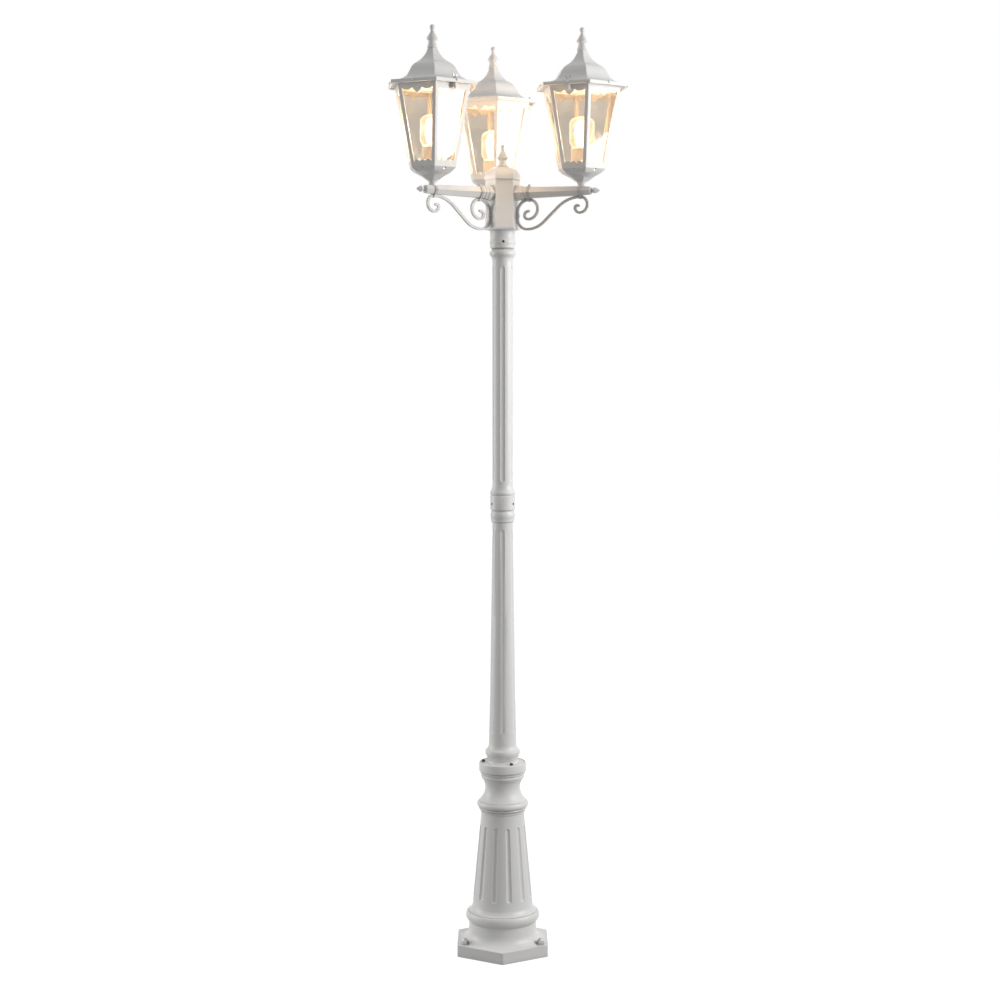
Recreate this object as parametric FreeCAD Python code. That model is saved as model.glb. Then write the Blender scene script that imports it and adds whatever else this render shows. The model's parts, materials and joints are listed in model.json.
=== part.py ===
"""A garden lamp post with three hexagonal lanterns on a hexagonal hub.

Millimetres, +Z up, origin at the centre of the foot's underside, -Y is the front.
A corner of the foot points to the front. The hub and its three arms are turned a little to the right.
"""
import FreeCAD, Part
import math
import os

os.makedirs("parts", exist_ok=True)
Vector = FreeCAD.Vector

# Clearances
SEAT_GAP = 0.1          # between flat faces of pieces that stay fastened
FIT_GAP = 0.15          # radial, round a piece that stays fastened
LIFT_GAP = 0.3          # under the lantern roof and round what lifts or turns
PANE_GAP = 0.3          # round each glass pane

# Pedestal: cast foot, bell, fluted shaft, ring, throat and collar
FOOT_CORNER_RADIUS = 126.0
FOOT_CORNER_ROUNDING = 6.0
FOOT_PLATE_HEIGHT = 28.0
BELL_FOOT_RADIUS = 103.0
BELL_TOP_RADIUS = 82.0
BELL_RISE = 26.0
BELL_RIM = 13.0
BASE_BEAD_DEPTH = 37.0
BASE_BEAD_BULGE = 8.0
BASE_BEAD_RIM = 8.0
SHAFT_BASE_RADIUS = 73.5
SHAFT_TOP_RADIUS = 52.4
SHAFT_LENGTH = 221.0
RING_RIM = 10.0
RING_DEPTH = 32.0
RING_BULGE = 7.0
THROAT_LENGTH = 51.0
THROAT_BULGE = -9.5
THROAT_RIM = 14.0
COLLAR_RADIUS = 56.7
COLLAR_DEPTH = 24.0
PEDESTAL_WALL = 6.0
SHAFT_FLUTE_COUNT = 12
SHAFT_FLUTE_RADIUS = 9.5
SHAFT_FLUTE_DEPTH = 3.2
SHAFT_FLUTE_FOOT = 12.0         # plain shaft below the flutes
SHAFT_FLUTE_HEAD = 42.0         # and above them
SHAFT_FLUTE_TURN = 13.0

# Anchor bolts through the foot
ANCHOR_CIRCLE_RADIUS = 105.0
ANCHOR_HOLE_RADIUS = 6.0
ANCHOR_AZIMUTHS = (60.0, 180.0, 300.0)
ANCHOR_THREAD_RADIUS = 5.0
ANCHOR_NUT_FLATS = 17.0
ANCHOR_NUT_HEIGHT = 10.0
ANCHOR_DOME_HEIGHT = 8.0
WASHER_RADIUS = 10.0
WASHER_THICKNESS = 2.0

# Lower pole
POLE_SEAT_DEPTH = 9.0           # from the collar's top down to the face that carries the flange
POLE_FLANGE_THICKNESS = 8.0
COLLAR_RIM = 4.0
POLE_FOOT_RADIUS = 36.0
POLE_SPIGOT_LENGTH = 50.0
POLE_BULGE_RADIUS = 41.9
POLE_BULGE_RISE = 32.0
POLE_TAPER_RADIUS = 33.3
POLE_TAPER_RISE = 21.0
POLE_SHANK_RADIUS = 30.7
POLE_SHANK_RISE = 106.0
LOWER_POLE_TOP_RADIUS = 24.7
LOWER_SHANK_LENGTH = 414.0
POLE_WALL = 3.5
FLANGE_SCREW_CIRCLE_RADIUS = 46.5
FLANGE_SCREW_TURN = 27.0
FLANGE_SCREW_RADIUS = 2.5
FLANGE_SCREW_HEAD_RADIUS = 4.0
FLANGE_SCREW_LENGTH = 16.0

# Joint of the two poles
JOINT_BEAD_DEPTH = 47.0
SLEEVE_RADIUS = 29.8
SLEEVE_LENGTH = 36.0
JOINT_BEAD_RADIUS = 29.5
SLEEVE_BORE_RADIUS = 24.9

# Upper pole
UPPER_POLE_RADIUS = 24.5
UPPER_FOOT_RISE = 31.0          # from the sleeve's top to the straight shank
UPPER_SHANK_LENGTH = 520.0
UPPER_BEAD_RADIUS = 31.0
UPPER_BEAD_RISE = 25.0
UPPER_BEAD_HEAD = 10.5
HEAD_SPIGOT_RADIUS = 24.0
HEAD_SPIGOT_ROOM = 3.5          # from the spigot's end to the hub's floor
POLE_FLUTE_COUNT = 6
POLE_FLUTE_RADIUS = 12.0
POLE_FLUTE_DEPTH = 2.0
UPPER_FLUTE_FOOT = 8.0          # plain pole at each end of the flutes
UPPER_FLUTE_HEAD = 14.0
LOWER_FLUTE_FOOT = 32.0
LOWER_FLUTE_HEAD = 6.0

# Grub screws in the sleeves
GRUB_RADIUS = 3.0
GRUB_SOCKET_FLATS = 3.0
GRUB_SOCKET_DEPTH = 2.2
GRUB_INSET = 0.6                # from the sleeve's face in to the screw's end
MID_GRUB_RISE = 16.0            # over the sleeve's lower end
MID_GRUB_TURN = 60.0
HEAD_GRUB_RISE = 15.5
HEAD_GRUB_TURN = 3.0

# Hub: round sleeve below, hollow hexagonal box above
HEAD_TURN = 6.6
HEAD_SLEEVE_RADIUS = 29.7
HEAD_SLEEVE_LENGTH = 43.5
HUB_LENGTH = 117.0
HUB_CORNER_RADIUS = 41.0
HUB_WALL = 4.0
HUB_FOOT_FLARE = 2.5
HUB_FLOOR_THICKNESS = 6.0
HUB_CABLE_RADIUS = 14.0
HUB_CAP_HEIGHT = 30.0
HUB_CAP_BAND = 6.0
HUB_CAP_CROWN_RADIUS = 14.0
HUB_CAP_BULGE = 6.6
HUB_CAP_WALL = 3.0
HUB_FINIAL_HEIGHT = 54.0
HUB_FINIAL_RADII = (14.2, 9.0, 13.2, 4.6, 4.9)          # foot ring, waist, cone, neck, ball

# Terminal block inside the hub
TERMINAL_LENGTH = 30.0
TERMINAL_DEPTH = 10.0
TERMINAL_HEIGHT = 20.0
TERMINAL_WAYS = 3
TERMINAL_BORE_RADIUS = 2.2

# Arms: hexagonal bars with flats above and below
ARM_DROP = 31.5                 # from the hub's top edge to the arms' centre line
ARM_AZIMUTHS = {"left": -60.0, "right": 60.0, "rear": 180.0}
ARM_ROOT_DEPTH = 34.0
ARM_ROOT_LENGTH = 15.0
ARM_STEP_DEPTH = 30.0
ARM_STEP_LENGTH = 8.0
ARM_INNER_DEPTH = 26.5
ARM_OUTER_DEPTH = 20.5
ARM_END_DEPTH = 18.0
ARM_BAR_REACH = 203.0
ARM_REACH = 225.0
ARM_CABLE_RADIUS = 4.5
ARM_SPIGOT_RADIUS = 8.0
ARM_SPIGOT_LENGTH = 14.0
ARM_NUT_FLATS = 24.0
ARM_NUT_THICKNESS = 5.0
TIP_LENGTH = 20.0
TIP_RADIUS = 8.0
TIP_STUD_RADIUS = 2.5
TIP_STUD_LENGTH = 8.0

# Scrolled rod under each arm
ROD_THICKNESS = 6.0
SCROLL_FOOT_DROP = 60.0         # from the arm's centre line to the bottom of the run along the hub
SCROLL_HEEL_RADIUS = 25.0
SCROLL_SLOPE = 43.0
SCROLL_LOWER_SHARE = 0.43       # of the two large bends of the S, the lower one's part
INNER_SCROLL_BENDS = ((29.5, 90.0), (21.5, 90.0), (24.0, 90.0), (9.3, 200.0))
OUTER_SCROLL_BENDS = ((17.6, 90.0), (18.8, 90.0), (11.6, 90.0), (5.2, 150.0))
SCROLL_SCREW_DROP = 53.5
SCROLL_EYE_RADIUS = 5.0
SCROLL_SCREW_RADIUS = 1.8
SCROLL_SCREW_HEAD_RADIUS = 3.6
SCROLL_SCREW_HEAD_HEIGHT = 2.6

# Clips that tie the rod to the arm
CLIP_WIDTH = 6.0
CLIP_THICKNESS = 1.8
INNER_CLIP_NUB_RADIUS = 2.6
INNER_CLIP_NUB_HEIGHT = 4.5
OUTER_CLIP_INSET = 3.5          # from the lantern's axis towards the hub

# Lanterns, in their own frame: corners along the arm and every 60 degrees from it
LANTERN_REACH = 200.4
SIDES = 6
NECK_RADIUS = 9.5
NECK_FLARE_RADIUS = 14.0
NECK_SADDLE = 2.5
NECK_LENGTH = 22.0              # from the arm's centre line to the bowl's throat
BOWL_THROAT_RADIUS = 17.5       # this and the bowl's other radii go to its corners
BOWL_SHOULDER_RADIUS = 46.0
BOWL_FLARE_RISE = 16.5
BOWL_FLARE_BOW = -1.0
BOWL_RIM_RISE = 10.0
BOWL_RIM_BOW = 0.6
BOWL_FLOOR_RADIUS = 31.5
BOWL_FLOOR_DROP = 13.0          # under the cage's bottom edge
GALLERY_DEPTH = 6.0             # from the cage's bottom edge to the ledge round its skirt
CAGE_HEIGHT = 186.0
CAGE_BOTTOM_CORNER_RADIUS = 58.5
CAGE_TOP_CORNER_RADIUS = 96.0
CAGE_WALL = 3.0
SKIRT_INSET = 10.5              # from the cage's corners in to the skirt's
SKIRT_WALL = 2.4
PANE_LEDGE = 3.0
POST_FACE = 8.0
BOTTOM_RAIL = 11.0
CREST_HEIGHT = 5.0
CREST_LOBES = 3
TOP_RAIL = 12.0
VALANCE_LOBE = 4.5
VALANCE_PENDANT = 12.0
VALANCE_NOTCH_OFFSET = 12.0
PANE_THICKNESS = 2.0
PANE_TOP_DROP = 5.0
CAGE_SCREW_DROP = 3.0           # under the cage's bottom edge
CAGE_SCREW_SEAT_RADIUS = 2.8
CAGE_SCREW_RADIUS = 1.6
CAGE_SCREW_HEAD_FLATS = 4.4
CAGE_SCREW_HEAD_HEIGHT = 1.8

# Threaded tube that holds the lantern on its arm, with its lock nut in the bowl
NIPPLE_RADIUS = 5.0
NIPPLE_BORE_RADIUS = 3.5
NIPPLE_NUT_FLATS = 17.0
NIPPLE_NUT_THICKNESS = 3.5

# Lampholder and bulb
HOLDER_FOOT_RADIUS = 26.5
HOLDER_FOOT_THICKNESS = 3.0
HOLDER_RADIUS = 25.0
HOLDER_HEIGHT = 62.0
HOLDER_SOCKET_DEPTH = 26.0
BULB_CAP_RADIUS = 13.2
BULB_THREAD_PITCH = 3.6
BULB_NECK_RADIUS = 24.5
BULB_RADIUS = 30.0
BULB_NECK_LENGTH = 14.0
BULB_BARREL_LENGTH = 50.0
BULB_DOME_RISE = 17.0
BULB_WALL = 1.2

# Lantern roof
BRIM_CORNER_RADIUS = 113.5
BRIM_LIP_DEPTH = 7.5
BRIM_THICKNESS = 5.5
BRIM_LIP_WIDTH = 4.5
ROOF_HEIGHT = 80.6              # from the brim's top edge to the crown
ROOF_WALL = 2.8
CROWN_CORNER_RADIUS = 12.0
ROOF_SPRING_RADIUS = 70.0       # where the brim's sweep ends, by its corner radius and rise over the brim
ROOF_SPRING_RISE = 14.0
ROOF_SPRING_BOW = -3.9
ROOF_SHOULDER_RADIUS = 62.5
ROOF_SHOULDER_RISE = 25.5
ROOF_HIP_RADIUS = 45.0
ROOF_HIP_RISE = 44.5
ROOF_HIP_BOW = 2.0
ROOF_CROWN_BOW = -4.6
ROOF_LUG_RADIUS = 3.5
ROOF_FINIAL_HEIGHT = 53.0
ROOF_FINIAL_RADII = (12.0, 9.6, 13.2, 3.9, 6.3)         # foot ring, waist, cone, neck, ball
FINIAL_STUD_RADIUS = 2.5
FINIAL_STUD_LENGTH = 9.0

# Wing screws that hold the roof down
WING_SCREW_RADIUS = 2.4
WING_SCREW_INSET = 8.6          # from the brim's flat to the screw's axis
WING_HUB_RADIUS = 3.8
WING_HUB_HEIGHT = 4.0
WING_SPAN = 15.0
WING_HEIGHT = 9.0
WING_THICKNESS = 2.0
WING_SCREW_LENGTH = 20.0
LUG_RADIUS = 4.6
LUG_HEIGHT = 13.0

FLAT_SHARE = math.cos(math.radians(30.0))       # a hexagon's flat-to-centre distance over its corner radius
LEAN = math.atan((CAGE_TOP_CORNER_RADIUS - CAGE_BOTTOM_CORNER_RADIUS) * FLAT_SHARE / CAGE_HEIGHT)

# Heights over the floor, stacked from the lengths above
BELL_TOP_HEIGHT = FOOT_PLATE_HEIGHT + BELL_RISE
BASE_BEAD_BOTTOM = BELL_TOP_HEIGHT + BELL_RIM
BASE_BEAD_TOP = BASE_BEAD_BOTTOM + BASE_BEAD_DEPTH
SHAFT_BASE_HEIGHT = BASE_BEAD_TOP + BASE_BEAD_RIM
SHAFT_TOP_HEIGHT = SHAFT_BASE_HEIGHT + SHAFT_LENGTH
SHAFT_FLUTE_BOTTOM = SHAFT_BASE_HEIGHT + SHAFT_FLUTE_FOOT
SHAFT_FLUTE_TOP = SHAFT_TOP_HEIGHT - SHAFT_FLUTE_HEAD
RING_BOTTOM = SHAFT_TOP_HEIGHT + RING_RIM
RING_TOP = RING_BOTTOM + RING_DEPTH
THROAT_TOP = RING_TOP + THROAT_LENGTH
COLLAR_BOTTOM = THROAT_TOP + THROAT_RIM
PEDESTAL_HEIGHT = COLLAR_BOTTOM + COLLAR_DEPTH
POLE_SEAT_HEIGHT = PEDESTAL_HEIGHT - POLE_SEAT_DEPTH
POLE_BULGE_HEIGHT = POLE_SEAT_HEIGHT + POLE_BULGE_RISE
POLE_TAPER_HEIGHT = POLE_BULGE_HEIGHT + POLE_TAPER_RISE
POLE_SHANK_HEIGHT = POLE_TAPER_HEIGHT + POLE_SHANK_RISE
LOWER_POLE_TOP_HEIGHT = POLE_SHANK_HEIGHT + LOWER_SHANK_LENGTH
LOWER_FLUTE_BOTTOM = POLE_TAPER_HEIGHT + LOWER_FLUTE_FOOT
LOWER_FLUTE_TOP = LOWER_POLE_TOP_HEIGHT - LOWER_FLUTE_HEAD
JOINT_HEIGHT = LOWER_POLE_TOP_HEIGHT + JOINT_BEAD_DEPTH
MID_GRUB_HEIGHT = JOINT_HEIGHT + MID_GRUB_RISE
UPPER_SHANK_BOTTOM = JOINT_HEIGHT + SLEEVE_LENGTH + UPPER_FOOT_RISE
UPPER_SHANK_TOP = UPPER_SHANK_BOTTOM + UPPER_SHANK_LENGTH
UPPER_FLUTE_BOTTOM = UPPER_SHANK_BOTTOM + UPPER_FLUTE_FOOT
UPPER_FLUTE_TOP = UPPER_SHANK_TOP - UPPER_FLUTE_HEAD
UPPER_BEAD_HEIGHT = UPPER_SHANK_TOP + UPPER_BEAD_RISE
UPPER_POLE_SHOULDER = UPPER_BEAD_HEIGHT + UPPER_BEAD_HEAD
HEAD_GRUB_HEIGHT = UPPER_POLE_SHOULDER + HEAD_GRUB_RISE
HUB_BOTTOM = UPPER_POLE_SHOULDER + HEAD_SLEEVE_LENGTH
HEAD_SPIGOT_TOP = HUB_BOTTOM - HEAD_SPIGOT_ROOM
HUB_TOP = HUB_BOTTOM + HUB_LENGTH
ARM_HEIGHT = HUB_TOP - ARM_DROP
NECK_TOP = ARM_HEIGHT + NECK_LENGTH
BOWL_SHOULDER = NECK_TOP + BOWL_FLARE_RISE
CAGE_BOTTOM = BOWL_SHOULDER + BOWL_RIM_RISE
GALLERY_LEDGE = CAGE_BOTTOM - GALLERY_DEPTH
BOWL_FLOOR = CAGE_BOTTOM - BOWL_FLOOR_DROP
CAGE_SCREW_HEIGHT = CAGE_BOTTOM - CAGE_SCREW_DROP
CAGE_TOP = CAGE_BOTTOM + CAGE_HEIGHT
HOLDER_TOP = BOWL_FLOOR + HOLDER_HEIGHT
BULB_SHOULDER_HEIGHT = HOLDER_TOP + BULB_NECK_LENGTH
BULB_DOME_HEIGHT = BULB_SHOULDER_HEIGHT + BULB_BARREL_LENGTH
BULB_TOP = BULB_DOME_HEIGHT + BULB_DOME_RISE


# ---------------------------------------------------------------- shape helpers

def bowed(start, end, bow):
    """An arc from start to end whose middle stands off the chord, to the right of the way it runs."""
    chord = end - start
    middle = (start + end) * 0.5
    right = Vector(chord.z, 0, -chord.x).normalize() * bow
    return Part.Arc(start, middle + right, end).toShape()


def domed(start, top):
    """An arc of a sphere about the axis, from a point up or down to the axis."""
    rise = top.z - start.z
    radius = (start.x ** 2 + rise ** 2) / (2 * rise)
    centre = top.z - radius
    half = math.atan2(start.x, (start.z - centre) * math.copysign(1, radius)) / 2
    middle = Vector(abs(radius) * math.sin(half), 0, centre + radius * math.cos(half))
    return Part.Arc(start, middle, top).toShape()


def turned(outline):
    """A solid of revolution about Z.

    Each step is (radius, height), (radius, height, bow of the arc to it) or (0, height, "dome").
    """
    points = [Vector(step[0], 0, step[1]) for step in outline]
    edges = []
    for i, step in enumerate(outline):
        start = points[i - 1]
        if start.isEqual(points[i], 1e-6):
            continue
        if step[-1] == "dome":
            edges.append(domed(start, points[i]))
        elif len(step) == 3:
            edges.append(bowed(start, points[i], step[2]))
        else:
            edges.append(Part.LineSegment(start, points[i]).toShape())
    face = Part.Face(Part.Wire(edges))
    return face.revolve(Vector(0, 0, 0), Vector(0, 0, 1), 360)


def rod(radius, length, base, direction=Vector(0, 0, 1)):
    """A plain cylinder."""
    return Part.makeCylinder(radius, length, base, direction)


def hexagon(corner_radius, height, turn=0.0):
    """A level hexagonal wire about the Z axis, with a corner at the angle turn from +X."""
    angles = [math.radians(turn + 60.0 * i) for i in range(SIDES + 1)]
    corners = [Vector(corner_radius * math.cos(a), corner_radius * math.sin(a), height) for a in angles]
    return Part.makePolygon(corners)


def six_sided(outline, turn=0.0):
    """Like turned, but with six flat-swept sides: three extruded outlines crossed at 60 degrees.

    Radii go to the corners, and a corner stands at the angle turn from +X.
    """
    reach = 2 * max(step[0] for step in outline)
    right = [(step[0] * FLAT_SHARE,) + tuple(step[1:]) for step in outline]
    sides = []
    for mirror in (1, -1):
        points = [Vector(mirror * step[0], -reach, step[1]) for step in right]
        for i in range(1, len(right)):
            bow = right[i][2] if len(right[i]) == 3 else 0
            if bow:
                sides.append(bowed(points[i - 1], points[i], mirror * bow))
            elif not points[i - 1].isEqual(points[i], 1e-6):
                sides.append(Part.LineSegment(points[i - 1], points[i]).toShape())
    for end in (right[0], right[-1]):
        if end[0] > 1e-6:
            left, mirrored = Vector(-end[0], -reach, end[1]), Vector(end[0], -reach, end[1])
            sides.append(Part.LineSegment(left, mirrored).toShape())
    bar = Part.Face(Part.Wire(Part.__sortEdges__(sides))).extrude(Vector(0, 2 * reach, 0))
    shape = bar
    for angle in (60.0, 120.0):
        shape = shape.common(spun(bar, angle))
    return spun(shape, turn + 30.0)


def hex_nut(flats, height, bottom):
    """A hexagonal prism on the Z axis by its width across flats."""
    corner = flats / 2 / FLAT_SHARE
    return six_sided(((corner, bottom), (corner, bottom + height)))


def polar(angle, radius, height=0.0):
    """The point at an angle from +X."""
    a = math.radians(angle)
    return Vector(radius * math.cos(a), radius * math.sin(a), height)


def facing(azimuth):
    """The angle from +X of a direction given by its azimuth from the front, positive to the right."""
    return azimuth - 90.0


def spun(shape, angle):
    """A copy turned about the Z axis."""
    return shape.rotated(Vector(0, 0, 0), Vector(0, 0, 1), angle)


def moved(shape, x=0.0, y=0.0, z=0.0):
    """A copy shifted."""
    return shape.translated(Vector(x, y, z))


def write(name, shape):
    """Write one node."""
    shape.exportStep(f"parts/{name}.step")


def capsule_cut(radius, start, end):
    """A round-ended cutter for a flute."""
    axis = end - start
    body = rod(radius, axis.Length, start, axis)
    return body.fuse([Part.makeSphere(radius, start), Part.makeSphere(radius, end)])


def flutes(count, turn, radius, depth, low, high):
    """Cutters for flutes; low and high are the surface's (radius, height) at a flute's two ends."""
    low_radius, low_height = low
    high_radius, high_height = high
    stand_off = radius - depth
    start = Vector(low_radius + stand_off, 0, low_height)
    end = Vector(high_radius + stand_off, 0, high_height)
    cutter = capsule_cut(radius, start, end)
    return [spun(cutter, facing(turn) + i * 360.0 / count) for i in range(count)]


def along(start, end, height):
    """The radius at a height on the straight line between two (radius, height) points."""
    share = (height - start[1]) / (end[1] - start[1])
    return start[0] + (end[0] - start[0]) * share


# ---------------------------------------------------------------- pedestal

def pedestal():
    """The cast foot with its bell, fluted shaft, ring, throat and the collar that holds the pole."""
    plate_wire = hexagon(FOOT_CORNER_RADIUS - FOOT_CORNER_ROUNDING / FLAT_SHARE, 0, facing(0))
    plate_face = Part.Face(plate_wire.makeOffset2D(FOOT_CORNER_ROUNDING))
    plate = plate_face.extrude(Vector(0, 0, FOOT_PLATE_HEIGHT))
    shaft_base = (SHAFT_BASE_RADIUS, SHAFT_BASE_HEIGHT)
    shaft_top = (SHAFT_TOP_RADIUS, SHAFT_TOP_HEIGHT)
    body = turned((
        (0, FOOT_PLATE_HEIGHT / 2),
        (BELL_FOOT_RADIUS, FOOT_PLATE_HEIGHT / 2),
        (BELL_FOOT_RADIUS, FOOT_PLATE_HEIGHT),
        (BELL_TOP_RADIUS, BELL_TOP_HEIGHT, -6.5),
        (BELL_TOP_RADIUS, BELL_TOP_HEIGHT + 7),
        (BELL_TOP_RADIUS + 2, BASE_BEAD_BOTTOM),
        (BELL_TOP_RADIUS - 1, BASE_BEAD_TOP, BASE_BEAD_BULGE),
        (SHAFT_BASE_RADIUS + 3.5, BASE_BEAD_TOP + 1),
        (SHAFT_BASE_RADIUS + 1, BASE_BEAD_TOP + 4),
        shaft_base,
        shaft_top,
        (SHAFT_TOP_RADIUS + 2, SHAFT_TOP_HEIGHT + 3),
        (SHAFT_TOP_RADIUS + 1.6, RING_BOTTOM - 3),
        (SHAFT_TOP_RADIUS + 3, RING_BOTTOM),
        (SHAFT_TOP_RADIUS + 1.6, RING_TOP, RING_BULGE),
        (COLLAR_RADIUS - 7, THROAT_TOP, THROAT_BULGE),
        (COLLAR_RADIUS - 4.5, THROAT_TOP + 3),
        (COLLAR_RADIUS - 3, COLLAR_BOTTOM - 3),
        (COLLAR_RADIUS, COLLAR_BOTTOM),
        (COLLAR_RADIUS, PEDESTAL_HEIGHT - 2),
        (COLLAR_RADIUS - 1.5, PEDESTAL_HEIGHT),
        (0, PEDESTAL_HEIGHT),
    ))
    shape = plate.fuse(body)
    low = (along(shaft_base, shaft_top, SHAFT_FLUTE_BOTTOM), SHAFT_FLUTE_BOTTOM)
    high = (along(shaft_base, shaft_top, SHAFT_FLUTE_TOP), SHAFT_FLUTE_TOP)
    cuts = flutes(SHAFT_FLUTE_COUNT, SHAFT_FLUTE_TURN, SHAFT_FLUTE_RADIUS, SHAFT_FLUTE_DEPTH, low, high)
    spigot_bottom = POLE_SEAT_HEIGHT - POLE_SPIGOT_LENGTH
    socket_radius = POLE_FOOT_RADIUS + FIT_GAP
    wall = PEDESTAL_WALL + SHAFT_FLUTE_DEPTH
    cuts.append(turned((
        (0, 0),
        (BELL_TOP_RADIUS - PEDESTAL_WALL, 0),
        (BELL_TOP_RADIUS - PEDESTAL_WALL, BASE_BEAD_BOTTOM),
        (SHAFT_BASE_RADIUS - wall, SHAFT_BASE_HEIGHT),
        (SHAFT_TOP_RADIUS - wall, SHAFT_TOP_HEIGHT),
        (SHAFT_TOP_RADIUS - wall, RING_TOP - 10),
        (socket_radius - PEDESTAL_WALL, spigot_bottom - SEAT_GAP - 4),
        (socket_radius - PEDESTAL_WALL, spigot_bottom - SEAT_GAP),
        (socket_radius, spigot_bottom - SEAT_GAP),
        (socket_radius, POLE_SEAT_HEIGHT),
        (COLLAR_RADIUS - COLLAR_RIM, POLE_SEAT_HEIGHT),
        (COLLAR_RADIUS - COLLAR_RIM, PEDESTAL_HEIGHT),
        (0, PEDESTAL_HEIGHT),
    )))
    for azimuth in ANCHOR_AZIMUTHS:
        spot = polar(facing(azimuth), ANCHOR_CIRCLE_RADIUS)
        cuts.append(rod(ANCHOR_HOLE_RADIUS, FOOT_PLATE_HEIGHT, spot))
        cuts.append(rod(WASHER_RADIUS + 1, BELL_TOP_HEIGHT, spot + Vector(0, 0, FOOT_PLATE_HEIGHT)))
    for spot in flange_screw_spots():
        depth = FLANGE_SCREW_LENGTH - POLE_FLANGE_THICKNESS + 2
        foot = spot + Vector(0, 0, POLE_SEAT_HEIGHT - depth)
        cuts.append(rod(FLANGE_SCREW_RADIUS + FIT_GAP, depth, foot))
    return shape.cut(cuts)


def flange_screw_spots():
    """Where the three screws go down through the pole's flange."""
    angles = [facing(FLANGE_SCREW_TURN + 120.0 * i) for i in range(3)]
    return [polar(a, FLANGE_SCREW_CIRCLE_RADIUS) for a in angles]


def flange_screws():
    """Socket-headed screws, with their heads standing on the flange."""
    top = POLE_SEAT_HEIGHT + SEAT_GAP + POLE_FLANGE_THICKNESS + SEAT_GAP
    head = FLANGE_SCREW_RADIUS * 2
    screw = turned((
        (0, top - FLANGE_SCREW_LENGTH),
        (FLANGE_SCREW_RADIUS, top - FLANGE_SCREW_LENGTH),
        (FLANGE_SCREW_RADIUS, top),
        (FLANGE_SCREW_HEAD_RADIUS, top),
        (FLANGE_SCREW_HEAD_RADIUS, top + head),
        (0, top + head),
    )).cut(hex_nut(FLANGE_SCREW_RADIUS * 1.6, head / 2, top + head / 2))
    return Part.makeCompound([moved(screw, spot.x, spot.y) for spot in flange_screw_spots()])


def anchor_washers():
    """One washer under each anchor nut."""
    ring = rod(WASHER_RADIUS, WASHER_THICKNESS, Vector(0, 0, FOOT_PLATE_HEIGHT))
    ring = ring.cut(rod(ANCHOR_HOLE_RADIUS, WASHER_THICKNESS, Vector(0, 0, FOOT_PLATE_HEIGHT)))
    spots = [polar(facing(a), ANCHOR_CIRCLE_RADIUS) for a in ANCHOR_AZIMUTHS]
    return Part.makeCompound([moved(ring, p.x, p.y) for p in spots])


def anchor_cap_nuts():
    """Domed nuts for the anchor bolts."""
    bottom = FOOT_PLATE_HEIGHT + WASHER_THICKNESS
    dome_radius = ANCHOR_NUT_FLATS / 2 - 0.5
    top = bottom + ANCHOR_NUT_HEIGHT
    dome = turned((
        (0, top - 1),
        (dome_radius, top - 1),
        (dome_radius, top),
        (dome_radius * 0.85, top + ANCHOR_DOME_HEIGHT * 0.5),
        (dome_radius * 0.45, top + ANCHOR_DOME_HEIGHT * 0.9),
        (0, top + ANCHOR_DOME_HEIGHT),
    ))
    nut = hex_nut(ANCHOR_NUT_FLATS, ANCHOR_NUT_HEIGHT, bottom).fuse(dome)
    nut = nut.cut(rod(ANCHOR_THREAD_RADIUS, ANCHOR_NUT_HEIGHT + 1, Vector(0, 0, bottom)))
    spots = [polar(facing(a), ANCHOR_CIRCLE_RADIUS) for a in ANCHOR_AZIMUTHS]
    return Part.makeCompound([moved(nut, p.x, p.y) for p in spots])


# ---------------------------------------------------------------- poles

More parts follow.
